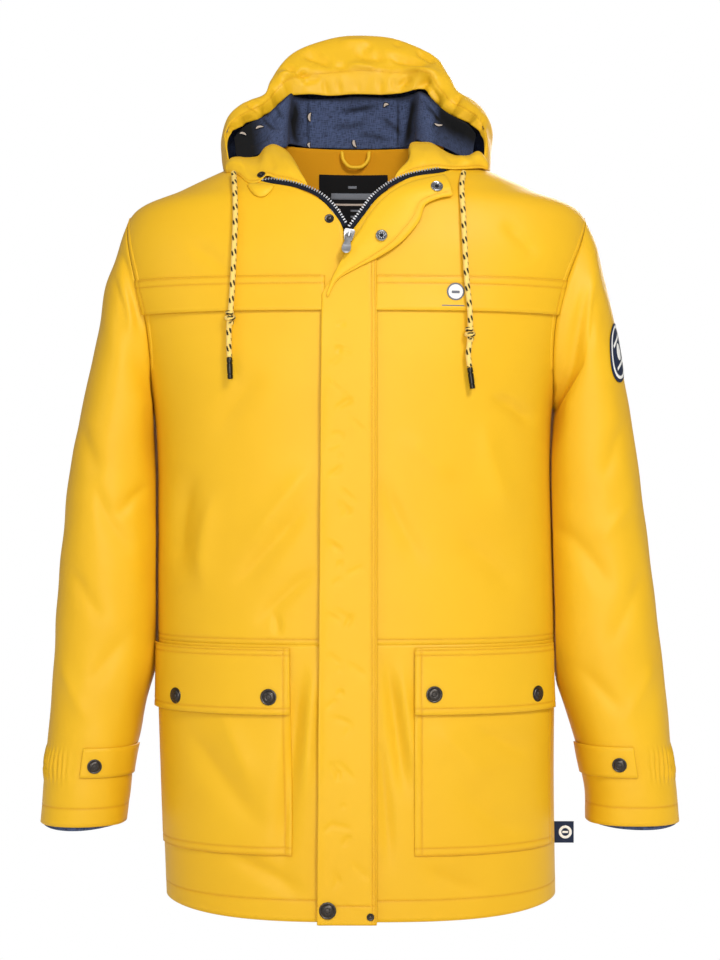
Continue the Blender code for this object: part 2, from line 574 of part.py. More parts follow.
def hem_height(u):
    return HEM_SIDE_Z - HEM_FRONT_DROP * (1 - abs(u) ** 4)


def lifted_grid(places, side, seam_shift):
    """Points and normals for rows of (u, z) places, kept off the side seam by half a gap."""
    grid = []
    normals = []
    for row in places:
        pairs = [body_point(u, z, side) for u, z in row]
        line = []
        for point, normal in pairs:
            if abs(point.y) < seam_shift:
                point = Vector((point.x, side * seam_shift, point.z))
                normal = Vector((normal.x, 0, normal.z)).normalized()
            line.append((point, normal))
        grid.append([p for p, _ in line])
        normals.append([n for _, n in line])
    return grid, normals


# ---------------------------------------------------------------- body pieces
def front_places(half):
    """(u, z) rows of one upper front, from the waist to the shoulder."""
    sign = -1 if half == "r" else 1
    rows = []
    for edge_x, edge_z, side_z, angle in FRONT_ROWS[half]:
        start = across(edge_x + sign * SEAM_GAP / 2, edge_z)
        if angle is None:
            outer, outer_z = 1, side_z
        else:
            outer, outer_z = armhole_place(angle, -1)
        row = [(mix(start, sign * outer, f), mix(edge_z, outer_z, f)) for f in FRONT_COLUMNS[half]]
        if angle == 0:
            row = [(sign, z) for _, z in row]
        rows.append(row)
    return rows


def skirt_places(half):
    """(u, z) rows of one front skirt, from the waist seam to the hem."""
    sign = -1 if half == "r" else 1
    rows = []
    for z in SKIRT_ROWS + (None,):
        row = []
        for f in FRONT_COLUMNS[half]:
            level = z if z is not None else HEM_SIDE_Z
            u = mix(across(FRONT_EDGE_X + sign * SEAM_GAP / 2, level), sign, f)
            row.append((u, level if z is not None else hem_height(u)))
        rows.append(row)
    return rows


def cut(grid, rows, columns):
    """Part of a grid, with both ends of each range kept."""
    return [row[columns[0]:columns[1] + 1] for row in grid[rows[0]:rows[1] + 1]]


def build_fronts():
    """Upper fronts and skirts, with the yokes, pockets and flaps that lie on them."""
    for half in ("r", "l"):
        grid, normals = lifted_grid(front_places(half), -1, SEAM_GAP)
        wall("front_upper_" + half, grid, normals, CLOTH, "coated cloth")
        rows = (7, 8)
        part, ways = cut(grid, rows, YOKE_COLUMNS[half]), cut(normals, rows, YOKE_COLUMNS[half])
        wall("yoke_" + half, moved(part, ways, LAYER_GAP + TRIM), ways, TRIM, "coated cloth")

        grid, normals = lifted_grid(skirt_places(half), -1, SEAM_GAP)
        wall("front_skirt_" + half, grid, normals, CLOTH, "coated cloth")
        part, ways = cut(grid, (2, 6), POCKET_COLUMNS[half]), cut(normals, (2, 6), POCKET_COLUMNS[half])
        wall("pocket_" + half, moved(part, ways, LAYER_GAP + TRIM), ways, TRIM, "coated cloth")
        part, ways = cut(grid, (1, 3), POCKET_COLUMNS[half]), cut(normals, (1, 3), POCKET_COLUMNS[half])
        stand = 2 * LAYER_GAP + 2 * TRIM + 0.0002
        wall("pocket_flap_" + half, moved(part, ways, stand), ways, TRIM, "coated cloth")


def back_columns(count):
    """Even columns round the back, bunched towards the side seams."""
    return [math.sin(math.pi / 2 * k / count) ** 0.8 for k in range(count + 1)]


def build_back():
    """The back above the waist, with its neck and shoulders, and the back skirt."""
    count = 11
    half_columns = back_columns(count)
    heights = (WAIST_Z + SEAM_GAP, -0.47, -0.40, -0.34)
    angles = tuple(reversed(ARMHOLE_ANGLES))
    neck_share = 0.45
    rows = []
    for index, value in enumerate(heights + angles):
        rise = index / (len(heights) + len(angles) - 1)
        if index < len(heights):
            outer, outer_z = 1, value
            middle_z = value
        else:
            outer, outer_z = armhole_place(value, 1)
            climb = (index - len(heights) + 1) / len(angles)
            middle_z = mix(heights[-1], NECK_BACK_Z, climb)
        row = []
        for k, f in enumerate(half_columns):
            flat = (outer * f, mix(middle_z, outer_z, f))
            share = k / count
            if share <= neck_share:
                bend = share / neck_share
                top = (bend, mix(NECK_BACK_Z, NECK_SIDE[1], bend ** 2))
            else:
                top = (1, mix(NECK_SIDE[1], ARMHOLE_MIDDLE_Z + ARMHOLE_HALF_HEIGHT,
                              (share - neck_share) / (1 - neck_share)))
            straight = (f, mix(NECK_BACK_Z, ARMHOLE_MIDDLE_Z + ARMHOLE_HALF_HEIGHT, f))
            pull = rise ** 4 if index >= len(heights) else 0
            row.append((flat[0] + (top[0] - straight[0]) * pull, flat[1] + (top[1] - straight[1]) * pull))
        rows.append([(-u, z) for u, z in reversed(row[1:])] + row)
    grid, normals = lifted_grid(rows, 1, SEAM_GAP)
    wall("back_upper", grid, normals, CLOTH, "coated cloth")

    signed = [-f for f in reversed(half_columns[1:])] + half_columns
    levels = (WAIST_Z - SEAM_GAP, -0.60, -0.66, -0.72, -0.78)
    rows = [[(u, z) for u in signed] for z in levels]
    rows.append([(u, hem_height(u)) for u in signed])
    grid, normals = lifted_grid(rows, 1, SEAM_GAP)
    wall("back_skirt", grid, normals, CLOTH, "coated cloth")


# ---------------------------------------------------------------- sleeves
def ring_angles():
    """Signed angles round a sleeve: over the front from the outer side, then back behind."""
    return list(ARMHOLE_ANGLES) + [-a for a in reversed(ARMHOLE_ANGLES[1:-1])]


def sleeve_fold(half, row, angle):
    total = 0
    for row0, angle0, row1, angle1, width, depth in SLEEVE_FOLDS[half]:
        for mirror in (1, -1):
            if not row0 <= row <= row1:
                continue
            along = (row - row0) / (row1 - row0)
            off = (angle * mirror - mix(angle0, angle1, along)) / width
            total += depth * math.exp(-off * off) * (1 if mirror > 0 else 0.6)
    return total


def sleeve_rings(half):
    """Rows of points down a sleeve, the first on the armhole's edge."""
    sign = -1 if half == "r" else 1
    rings = []
    first = []
    for angle in ring_angles():
        side = -1 if angle >= 0 else 1
        u, z = armhole_place(abs(angle), side)
        point = body_point(sign * u, z, side)[0]
        if abs(angle) in (0, 180):
            point.y = 0
        first.append(point + Vector((sign * 2 * SEAM_GAP, 0, 0)))
    rings.append(first)
    power = 2 / SLEEVE_ROUNDNESS
    for row, (ox, oz, ix, iz, y, half_depth, gather) in enumerate(SLEEVE_SECTIONS[half], start=1):
        middle = Vector(((ox + ix) / 2, y, (oz + iz) / 2))
        long_way = Vector(((ox - ix) / 2, 0, (oz - iz) / 2))
        ring = []
        for index, angle in enumerate(ring_angles()):
            turn = math.radians(angle)
            c, s = math.cos(turn), math.sin(turn)
            reach = math.copysign(abs(c) ** power, c)
            deep = math.copysign(abs(s) ** power, s)
            spoke = long_way * reach + Vector((0, -half_depth * deep, 0))
            out = sleeve_fold(half, row, angle)
            if gather and abs(angle) <= GATHER_ANGLE:
                out += gather * GATHER_DEPTH * (1 if index % 2 else -1)
            ring.append(middle + spoke + spoke.normalized() * out)
        rings.append(ring)
    return rings


def sleeve_normals(rings):
    middles = [sum(ring, Vector()) / len(ring) for ring in rings]
    place = {id(p): m for ring, m in zip(rings, middles) for p in ring}
    normals = grid_normals(rings, lambda p: p - place[id(p)], closed=True)
    first = []
    for normal in normals[0]:
        first.append(Vector((0, normal.y, normal.z)).normalized())
    return [first] + normals[1:]


def build_sleeves():
    """Sleeves, the strip of lining that shows below each cuff, cuff tabs and the left patch."""
    for half in ("r", "l"):
        rings = sleeve_rings(half)
        normals = sleeve_normals(rings)
        wall("sleeve_" + half, rings, normals, CLOTH, "coated cloth", closed=True)

        end, near = rings[-1], rings[-2]
        ways = normals[-1]
        peep = 0.0045
        rows = []
        for share, drop in ((0.45, 0), (0.05, 0), (0, peep)):
            row = []
            for p, q, n, angle in zip(end, near, ways, ring_angles()):
                dip = drop * max(0, math.cos(math.radians(angle - 80))) ** 2
                row.append(mix(p, q, share) - n * (CLOTH + 0.0009) - Vector((0, 0, dip)))
            rows.append(row)
        wall("cuff_lining_" + half, rows, [ways] * 3, 0.0010, "lining", closed=True)
        build_cuff_tab(half, rings, normals)
        if half == "l":
            build_sleeve_patch(rings, normals)


def build_sleeve_patch(rings, normals):
    """Small upright patch on the outer front of the left sleeve."""
    top, low = 3, 4
    picks = (2, 3, 4)
    grid, ways = [], []
    for share in (0.10, 0.92):
        grid.append([mix(rings[top][c], rings[low][c], share) for c in picks])
        ways.append([mix(normals[top][c], normals[low][c], share).normalized() for c in picks])
    wall("sleeve_patch", moved(grid, ways, 0.0018), ways, 0.0010, "navy label")


def build_cuff_tab(half, rings, normals):
    """The tab that wraps the front of a cuff, from the inner seam to its free end."""
    rows = range(11, 14)
    picks = range(7, 12)
    grid = [[rings[r][c] for c in picks] for r in rows]
    ways = [[normals[r][c] for c in picks] for r in rows]
    wall("cuff_tab_" + half, moved(grid, ways, LAYER_GAP + TRIM), ways, TRIM, "coated cloth")


def sleeve_front(half, x, z):
    """Point and normal on the front of a sleeve below the elbow, by its x and height."""
    rings = sleeve_rings(half)
    normals = sleeve_normals(rings)
    for r in range(8, len(rings) - 1):
        if not rings[r + 1][8].z <= z <= rings[r][8].z:
            continue
        share = (rings[r][8].z - z) / (rings[r][8].z - rings[r + 1][8].z)
        ring = [mix(a, b, share) for a, b in zip(rings[r], rings[r + 1])]
        ways = [mix(a, b, share) for a, b in zip(normals[r], normals[r + 1])]
        for c in range(11):
            low, high = sorted((ring[c].x, ring[c + 1].x))
            if low <= x <= high:
                along = (x - ring[c].x) / (ring[c + 1].x - ring[c].x)
                return mix(ring[c], ring[c + 1], along), mix(ways[c], ways[c + 1], along).normalized()
    raise ValueError("no cloth at that place")


# ---------------------------------------------------------------- placket and zip
def front_layer(stations, stand, thickness, name, stuff):
    """A strip laid on the fronts: rows of x, z points and the stand-off of its outer face."""
    grid, ways = [], []
    for row, height in zip(stations, stand):
        pairs = [body_point(across(x, z), z, -1) for x, z in row]
        grid.append([p + n * height for p, n in pairs])
        ways.append([n for _, n in pairs])
    return wall(name, grid, ways, thickness, stuff)


def build_placket():
    """Storm placket over the closed zip, its top turned back, and the hidden closed zip."""
    placket_left, placket_right = -0.0400, 0.0174
    shares = (0, 0.2, 0.41, 0.7, 1)
    top = (-0.1730, -0.1550, -0.1370, -0.1400, -0.1520)
    levels = (-0.1900, -0.2300, -0.2900, -0.3400, -0.4000, -0.4700, WAIST_Z, -0.5800, -0.6175,
              -0.6650, -0.7150, -0.7670, -0.7980, -0.8385)
    rows = [[(mix(placket_left, placket_right, s), z) for s, z in zip(shares, top)]]
    for z in levels:
        spread = -0.0045 * max(0, (-0.18 - z) / 0.66)
        rows.append([(mix(placket_left + spread, placket_right, s), z) for s in shares])
    front_layer(rows, [0.0042] * len(rows), 0.0018, "placket", "coated cloth")

    zip_half = 0.011
    rows = [[(FRONT_EDGE_X - zip_half, z), (FRONT_EDGE_X, z), (FRONT_EDGE_X + zip_half, z)]
            for z in levels[:-1]]
    front_layer(rows, [0.0014] * len(rows), 0.0009, "zip_closed", "zip tape")

    grid, ways = [], []
    shares = (0, 0.33, 0.67, 1)
    for index, (x0, z0, x1, z1, stand) in enumerate(TURNBACK_STATIONS):
        line, turns = [], []
        for s in shares:
            x, z = mix(x0, x1, s), mix(z0, z1, s)
            point, normal = body_point(across(x, z), z, -1)
            swell = 0.0030 * math.sin(math.pi * s) * min(1, index / 4)
            line.append(point + normal * (stand + swell))
            turns.append(normal)
        grid.append(line)
        ways.append(turns)
    wall("placket_turnback", grid, ways, 0.0018, "coated facing")


def zip_tape_lines(half):
    """Outer and inner edge of the open tape in x and z, from the slider round the neck edge."""
    rows = FRONT_ROWS[half][10:15]
    edge = smooth_through([Vector((x, 0, z)) for x, z, _, _ in rows], 3)
    sign = -1 if half == "r" else 1
    lines = []
    for index, place in enumerate(edge):
        run = edge[min(index + 1, len(edge) - 1)] - edge[max(index - 1, 0)]
        inward = Vector((-run.z, 0, run.x)).normalized() * sign
        lines.append((place + inward * ZIP_TAPE_START, place + inward * ZIP_TAPE_REACH))
    return lines


def build_zip():
    """Open zip tapes on the two neck edges."""
    for half in ("r", "l"):
        grid, ways = [], []
        for spots in zip_tape_lines(half):
            pairs = [body_point(across(spot.x, spot.z), spot.z, -1) for spot in spots]
            grid.append([point - normal * 0.0002 for point, normal in pairs])
            ways.append([normal for _, normal in pairs])
        wall("zip_tape_" + half, grid, ways, 0.0011, "zip tape")


# ---------------------------------------------------------------- hood, lining, collar, facing
def build_hood():
    """Outer cloth of the hood, from the gathered mouth over the crown to the nape."""
    grid = []
    for station in HOOD_STATIONS:
        mouth, rim, back = [Vector(station[k:k + 3]) for k in (0, 3, 6)]
        nape = Vector((*station[9:], HOOD_NAPE_Z))
        roll = mix(mouth, rim, 0.35) + Vector((0, -2 * HOOD_RISE, HOOD_RISE))
        curve = smooth_through([mouth, roll, rim, back, nape], 2)
        grid.append(curve)
    for line in grid:
        for point in line:
            floor = shoulder_height(point.x, point.y) + HOOD_SEAT
            point.z = max(point.z, floor)
    middle = Vector((0, 0.06, -0.02))
    normals = grid_normals(grid, lambda p: p - middle)
    wall("hood", grid, normals, CLOTH, "coated cloth")


def build_lining():
    """Lining of the hood that shows through its mouth."""
    grid = []
    for top, foot in LINING_STATIONS:
        a, b = Vector(top), Vector(foot)
        grid.append([mix(a, b, s) + Vector((0, LINING_SHIFT + LINING_BOW * math.sin(math.pi * s), 0))
                     for s in (0, 0.2, 0.4, 0.6, 0.8, 1)])
    normals = grid_normals(grid, lambda p: Vector((-p.x, -0.3, 0)))
    wall("hood_lining", grid, normals, 0.0010, "lining")


def tape_height(half, x):
    """Height of the open tape's inner edge at x, or None past its ends."""
    spots = sorted((inner.x, inner.z) for _, inner in zip_tape_lines(half))
    for (x0, z0), (x1, z1) in zip(spots, spots[1:]):
        if x0 <= x <= x1:
            return mix(z0, z1, (x - x0) / (x1 - x0))
    return None


def build_collars():
    """Facings of the neck edge, standing between the zip and the hood's lining."""
    shares = (0, 0.25, 0.5, 0.75, 1)
    full_height = 0.030
    for half in ("r", "l"):
        grid = []
        for foot, top in COLLAR_STATIONS[half]:
            a, b = Vector(foot), Vector(top)
            edge = tape_height(half, a.x)
            if edge is not None:
                a.z = edge + COLLAR_SEAT
                a.y = body_point(across(a.x, a.z), a.z, -1)[0].y - SEAM_GAP
            bulge = COLLAR_BULGE * min(1, (b - a).length / full_height)
            line = []
            for s in shares:
                point = mix(a, b, s) + Vector((0, -1, 0.5)) * bulge * math.sin(math.pi * s)
                if edge is None:
                    cloth = body_point(across(point.x, point.z), point.z, -1)[0]
                    if abs(across(point.x, point.z)) < 1:
                        point.y = min(point.y, cloth.y - CLOTH - 0.0006)
                line.append(point)
            grid.append(line)
        normals = grid_normals(grid, lambda p: Vector((0, -1, 0.4)))
        wall("collar_" + half, grid, normals, CLOTH, "coated facing")


def neck_line(share, z, inset):
    """Point inside the back of the neck; share runs from the right side to the left."""
    turn = math.pi * share
    return Vector((-0.094 * math.cos(turn), 0.008 + (0.064 - inset) * math.sin(turn) ** 0.8, z))


def build_neck_facing():
    """Facing inside the back of the neck, with its hanger loop and label."""
    shares = (0.04, 0.12, 0.20, 0.27, 1 / 3, 0.40, 0.47, 0.54, 0.61, 0.68, 0.76, 0.86, 0.96)
    levels = ((0.0105, 0.000), (-0.010, 0.000), (-0.0187, 0.0005), (-0.054, 0.002), (-0.0887, 0.004),
              (-0.120, 0.004))
    grid = [[neck_line(s, z, inset) for s in shares] for z, inset in levels]
    normals = grid_normals(grid, lambda p: Vector((-p.x, -0.05, 0)))
    wall("neck_facing", grid, normals, CLOTH, "coated facing")
    part, ways = cut(grid, (2, 4), (4, 8)), cut(normals, (2, 4), (4, 8))
    wall("neck_label", moved(part, ways, LAYER_GAP + 0.0008), ways, 0.0008, "black label")
    loop = [Vector(p) for p in HANGER_LOOP]
    tube("hanger_loop", smooth_through(loop, 3), 0.0021, "coated facing")


# ---------------------------------------------------------------- cords and hardware
def on_front(x, z, stand):
    point, normal = body_point(across(x, z), z, -1)
    return point + normal * stand


def build_cords():
    """Drawcords from the hood's front feet, each with a knot, a tail and a metal tip."""
    spacing = 2.6 * CORD_DIAMETER
    for half in ("r", "l"):
        route = [on_front(*spot) for spot in CORD_ROUTES[half]]
        lay_cord("drawcord_" + half, route, spacing)
        tail = [on_front(*spot) for spot in CORD_TAILS[half]]
        knot_top, knot_low = route[-1], tail[0]
        middle = (knot_top + knot_low) / 2
        along = (knot_low - knot_top)
        half_length = along.length / 2 - 2 * SEAM_GAP
        wide, _, _ = KNOT_SIZE
        profile = [(0, half_length)]
        profile += [(wide * w, half_length * h) for w, h in ((0.62, 1), (1, 0.45), (1, -0.45), (0.62, -1))]
        profile += [(0, -half_length)]
        turned("cord_knot_" + half, profile, middle, along.normalized(), "cord", 8)
        lay_cord("cord_tail_" + half, tail, spacing)
        down = (tail[-1] - tail[-2]).normalized()
        end = tail[-1] + down * 2 * SEAM_GAP
        profile = [(0, TIP_LENGTH), (0.8 * TIP_RADIUS, TIP_LENGTH), (TIP_RADIUS, 0.93 * TIP_LENGTH),
                   (TIP_RADIUS, 0.0), (0, 0.0)]
        turned("cord_tip_" + half, profile, end, down, "cord tip", 10)


def lay_cord(name, route, spacing):
    """A cord's tube, with a point every few diameters of a smooth curve through the route."""
    fine = smooth_through(route, 12)
    points = [fine[0]]
    for point in fine[1:]:
        if (point - points[-1]).length >= spacing:
            points.append(point)
    if (fine[-1] - points[-1]).length < spacing / 2 and len(points) > 2:
        points.pop()
    points.append(fine[-1])
    return tube(name, points, CORD_DIAMETER / 2, "cord")


def dome(radius, height):
    return [(0, height), (0.55 * radius, 0.90 * height), (0.92 * radius, 0.45 * height),
            (radius, 0), (0, 0)]


def socket(radius, height):
    return [(0, 0.35 * height), (0.42 * radius, 0.35 * height), (0.50 * radius, height),
            (0.80 * radius, height), (radius, 0.4 * height), (radius, 0), (0, 0)]


def turnback_place(x, z):
    """Point and normal on the turned-back placket's outer face at one of its snaps."""
    point, normal = body_point(across(x, z), z, -1)
    nearest = min(TURNBACK_STATIONS, key=lambda s: (mix(s[0], s[2], 0.5) - x) ** 2
                  + (mix(s[1], s[3], 0.5) - z) ** 2)
    return point + normal * (nearest[4] + 0.0030), normal


def build_snaps():
    """Snap caps, studs and sockets, each seated just clear of its layer."""
    for name, x, z, stand, radius, height in SNAP_CAPS:
        point, normal = body_point(across(x, z), z, -1)
        turned(name, dome(radius, height), point + normal * (stand + SEAM_GAP), normal, "snap metal")
    for name, x, z, radius, height in SNAP_SOCKETS:
        point, normal = turnback_place(x, z)
        turned(name, socket(radius, height), point + normal * SEAM_GAP, normal, "snap metal", 12)
    for half, (x, z) in CUFF_SNAPS.items():
        point, normal = sleeve_front(half, x, z)
        seat = LAYER_GAP + TRIM + 2 * SEAM_GAP
        turned("snap_cuff_" + half, dome(CUFF_SNAP_RADIUS, 0.0032), point + normal * seat, normal,
               "snap metal")


def slider_frame():
    """Matrix of the slider: its origin on the hinge line, Y pointing back to the cloth."""
    x, z = SLIDER_PLACE
    stand = 0.0005 + SLIDER_SIZE[1] + HINGE_STAND
    place = on_front(x, z, stand)
    return (Matrix.Translation(place) @ Matrix.Rotation(SLIDER_TILT, 4, "Y")
            @ Matrix.Rotation(-SLIDER_LEAN, 4, "X"))


def block(name, low, high):
    """A box between two corners, as its own object at the origin."""
    spots = [(x, y, z) for x in (low[0], high[0]) for y in (low[1], high[1]) for z in (low[2], high[2])]
    faces = [(0, 1, 3, 2), (4, 6, 7, 5), (0, 4, 5, 1), (2, 3, 7, 6), (0, 2, 6, 4), (1, 5, 7, 3)]
    return add_object(name, [Vector(s) for s in spots], faces, "nickel")


def build_slider():
    """Slider body with its bridge, joined from blocks by Boolean unions."""
    frame = slider_frame()
    wide, deep, tall = SLIDER_SIZE
    face = HINGE_STAND
    half = BRIDGE_WIDTH / 2
    front = -face
    body = block("zip_slider", (-wide / 2, face, -tall / 2), (wide / 2, face + deep, tall / 2))
    parts = (
        ((-half, front - BRIDGE_BAR, -BRIDGE_REACH), (half, front, BRIDGE_REACH)),
        ((-half, front - BRIDGE_BAR / 2, BRIDGE_REACH - BRIDGE_BAR), (half, face + deep / 2, BRIDGE_REACH)),
        ((-half, front - BRIDGE_BAR / 2, -BRIDGE_REACH), (half, face + deep / 2, BRIDGE_BAR - BRIDGE_REACH)),
    )
    for index, (low, high) in enumerate(parts):
        cutter = block("slider_block_%d" % index, low, high)
        cutter.hide_render = True
        cutter.display_type = "WIRE"
        cutter.matrix_world = frame
        join = body.modifiers.new("bridge_%d" % index, "BOOLEAN")
        join.operation = "UNION"
        join.solver = "EXACT"
        join.object = cutter
    body.matrix_world = frame


def build_pull_tab():
    """Pull tab: a flat plate round an eye, hung on the slider's bridge at the hinge line."""
    sides = 20
    eye_half, eye_end = TAB_EYE
    eye_middle = -(TAB_BAR + eye_end) / 2
    eye_long = (eye_end - TAB_BAR) / 2
    outer, inner = [], []
    for k in range(sides):
        angle = 2 * math.pi * k / sides
        c, s = math.cos(angle), math.sin(angle)
        square = max(abs(c), abs(s))
        inner.append((eye_half * c / square, eye_middle + eye_long * s / square))
        top = eye_middle + eye_long + 2 * TAB_BAR
        if s > 0:
            outer.append((0.0042 * c, eye_middle + (top - eye_middle) * s ** 0.8))
        else:
            reach = abs(s)
            z = eye_middle - (TAB_LENGTH + eye_middle) * reach ** 1.3
            width = 0.0042 + 0.0030 * math.sin(math.pi * min(1, reach * 1.05)) * (1 if reach > 0.4 else 0.4)
            outer.append((width * math.copysign(abs(c) ** 0.75, c), z))
    depth = TAB_THICKNESS / 2
    vertices = [Vector((x, y, z)) for y in (-depth, depth) for loop in (outer, inner) for x, z in loop]
    faces = []
    for k in range(sides):
        n = (k + 1) % sides
        a, b = k, n
        c, d = sides + n, sides + k
        low = 2 * sides
        faces += [(a, b, c, d), (low + d, low + c, low + b, low + a),
                  (b, a, low + a, low + b), (d, c, low + c, low + d)]
    tab = add_object("pull_tab", vertices, faces, "nickel")
    tab.matrix_world = slider_frame() @ Matrix.Rotation(-TAB_LEAN, 4, "X")


def build_side_label():
    """Folded label that stands out of the left side seam near the hem."""
    x0, x1, z0, z1 = SIDE_LABEL
    made = block("side_label", (x0, -0.0006, z0), (x1, 0.0006, z1))
    made.data.materials.clear()
    made.data.materials.append(material("navy label"))


def main():
    for old in list(bpy.data.objects):
        bpy.data.objects.remove(old, do_unlink=True)
    build_fronts()
    build_back()
    build_sleeves()
    build_placket()
    build_zip()
    build_hood()
    build_lining()
    build_collars()
    build_neck_facing()
    build_cords()
    build_snaps()
    build_slider()
    build_pull_tab()
    build_side_label()


main()
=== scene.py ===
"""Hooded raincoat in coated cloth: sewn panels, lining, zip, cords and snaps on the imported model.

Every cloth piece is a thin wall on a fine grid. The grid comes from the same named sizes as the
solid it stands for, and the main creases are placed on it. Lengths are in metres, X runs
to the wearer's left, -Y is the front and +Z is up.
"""

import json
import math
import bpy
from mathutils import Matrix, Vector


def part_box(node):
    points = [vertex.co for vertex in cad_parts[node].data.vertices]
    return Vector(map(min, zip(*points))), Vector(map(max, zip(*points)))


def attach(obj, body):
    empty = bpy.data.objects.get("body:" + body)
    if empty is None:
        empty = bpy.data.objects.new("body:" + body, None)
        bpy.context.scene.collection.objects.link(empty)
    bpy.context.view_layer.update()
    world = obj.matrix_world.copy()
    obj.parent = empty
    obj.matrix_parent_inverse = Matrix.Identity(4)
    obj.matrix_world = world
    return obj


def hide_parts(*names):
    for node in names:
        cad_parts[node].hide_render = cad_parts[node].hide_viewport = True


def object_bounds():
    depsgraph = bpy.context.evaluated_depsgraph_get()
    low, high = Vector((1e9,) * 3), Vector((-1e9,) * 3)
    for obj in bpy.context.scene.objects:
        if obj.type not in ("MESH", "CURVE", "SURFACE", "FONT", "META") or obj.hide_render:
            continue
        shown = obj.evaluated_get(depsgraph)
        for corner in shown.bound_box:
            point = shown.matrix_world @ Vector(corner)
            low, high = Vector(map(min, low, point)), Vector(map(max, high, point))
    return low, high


bl_info = {
    "name": "Hooded Raincoat",
    "version": (1, 0, 0),
    "blender": (4, 5, 0),
    "location": "View3D > Sidebar > Raincoat",
    "description": "Makes the cloth, trims, hardware and stage of a hooded raincoat",
    "category": "Object",
}

import bmesh
import bpy
import numpy as np
from mathutils import Matrix, Vector

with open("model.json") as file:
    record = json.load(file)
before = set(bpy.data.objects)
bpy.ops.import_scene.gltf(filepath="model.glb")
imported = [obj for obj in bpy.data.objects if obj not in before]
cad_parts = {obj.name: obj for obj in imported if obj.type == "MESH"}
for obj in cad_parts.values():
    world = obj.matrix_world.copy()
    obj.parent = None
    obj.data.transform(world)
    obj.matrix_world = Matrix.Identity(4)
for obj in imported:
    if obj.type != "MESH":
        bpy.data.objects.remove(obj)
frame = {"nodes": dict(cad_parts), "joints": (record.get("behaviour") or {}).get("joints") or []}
CAD_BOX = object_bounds()

# ---- sizes shared with the solids
def tenths(*rows):
    """Rows of sizes in tenths of a millimetre, as metres."""
    return np.array(rows) / 10000


SIDES = {"r": -1, "l": 1}  # the wearer's right lies at -X
FRONT, BACK = -1, 1  # signs of Y
CLOTH = 0.0016  # wall of the coated body cloth
TRIM = 0.0015  # wall of flaps, yokes and other sewn-on layers
SEAM_GAP = 0.0003  # air between two pieces that are sewn together
LAYER_GAP = 0.0004  # air between a panel and a layer on it
ROUNDNESS = 2.5  # exponent of the body's sections: 2 is an ellipse, more is squarer
SLEEVE_ROUNDNESS = 2.2
FRONT_EDGE_X = -0.0145  # line of the closed zip
WAIST_Z = -0.544  # waist seam
YOKE_SEAM_Z = -0.153
YOKE_EDGE_Z = -0.19
POCKET_TOP_Z = -0.58
POCKET_BOTTOM_Z = -0.767
FLAP_TOP_Z = -0.5475
FLAP_EDGE_Z = -0.6175
HEM_SIDE_Z = -0.826
HEM_FRONT_DROP = 0.01  # the hem hangs lower at the middle of the front and back
NECK_SIDE = (0.105, -0.0104)  # x and z of the neck's side point on the shoulder ridge
NECK_BACK_Z = -0.015

# Armhole: an upright oval in the side of the body, set out by an angle from the shoulder tip.
ARMHOLE_MIDDLE_Z = -0.1835
ARMHOLE_HALF_HEIGHT = 0.1065
ARMHOLE_DEPTH = {FRONT: 0.072, BACK: 0.074}
ARMHOLE_ANGLES = (0, 8, 16, 26, 37, 49, 61, 73.4, 93.5, 120, 150, 180)

# Body sections, top to bottom: height, middle x, half width, depth in front, depth behind.
BODY_SECTIONS = tenths(
    (0, -20, 780, 620, 660), (-270, -40, 1480, 880, 860), (-500, -30, 1980, 1040, 1000),
    (-770, -30, 2514, 1160, 1100), (-1100, -60, 2600, 1250, 1180), (-1500, -95, 2570, 1310, 1240),
    (-2000, -100, 2430, 1360, 1290), (-2400, -90, 2320, 1390, 1320), (-2900, -80, 2220, 1400, 1330),
    (-3600, -65, 2185, 1390, 1310), (-4000, -60, 2190, 1380, 1300), (-5440, -40, 2206, 1360, 1310),
    (-7000, -22, 2180, 1370, 1340), (-8600, 20, 2160, 1380, 1370),
)

# Heights of the rows of the back and front that end at the side seam, then the front's other rows
# up its straight edge, then x and z of its neck edge. From SIDE_ROWS on, a row ends on the armhole.
SIDE_ROWS = (WAIST_Z + SEAM_GAP, -0.47, -0.4, -0.34)
EDGE_ROWS = (-0.29, -0.255, -0.222, YOKE_EDGE_Z, YOKE_SEAM_Z, -0.129)
NECK_EDGES = {
    "r": tenths((-190, -1010), (-293, -843), (-418, -709), (-676, -576), (-950, -512)),
    "l": tenths((-82, -1055), (42, -880), (185, -690), (423, -511), (897, -374)),
}

# Columns of each front from its edge to the side seam, as shares of the way round.
OUTER_COLUMNS = (0.41, 0.5, 0.6, 0.69, 0.78, 0.86, 0.92, 0.965, 0.99, 1)
FRONT_COLUMNS = {"r": (0, 0.1, 0.19, 0.285, 0.39, *OUTER_COLUMNS[1:]), "l": (0, 0.127, 0.235, 0.313, *OUTER_COLUMNS)}
SKIRT_ROWS = (WAIST_Z - SEAM_GAP, FLAP_TOP_Z, POCKET_TOP_Z, FLAP_EDGE_Z, -0.665, -0.715, POCKET_BOTTOM_Z, -0.798)
BACK_SKIRT_ROWS = (WAIST_Z - SEAM_GAP, -0.6, -0.66, -0.72, -0.78)
POCKET_COLUMNS = {"r": slice(3, 13), "l": slice(3, 12)}
YOKE_COLUMNS = slice(1, 14)

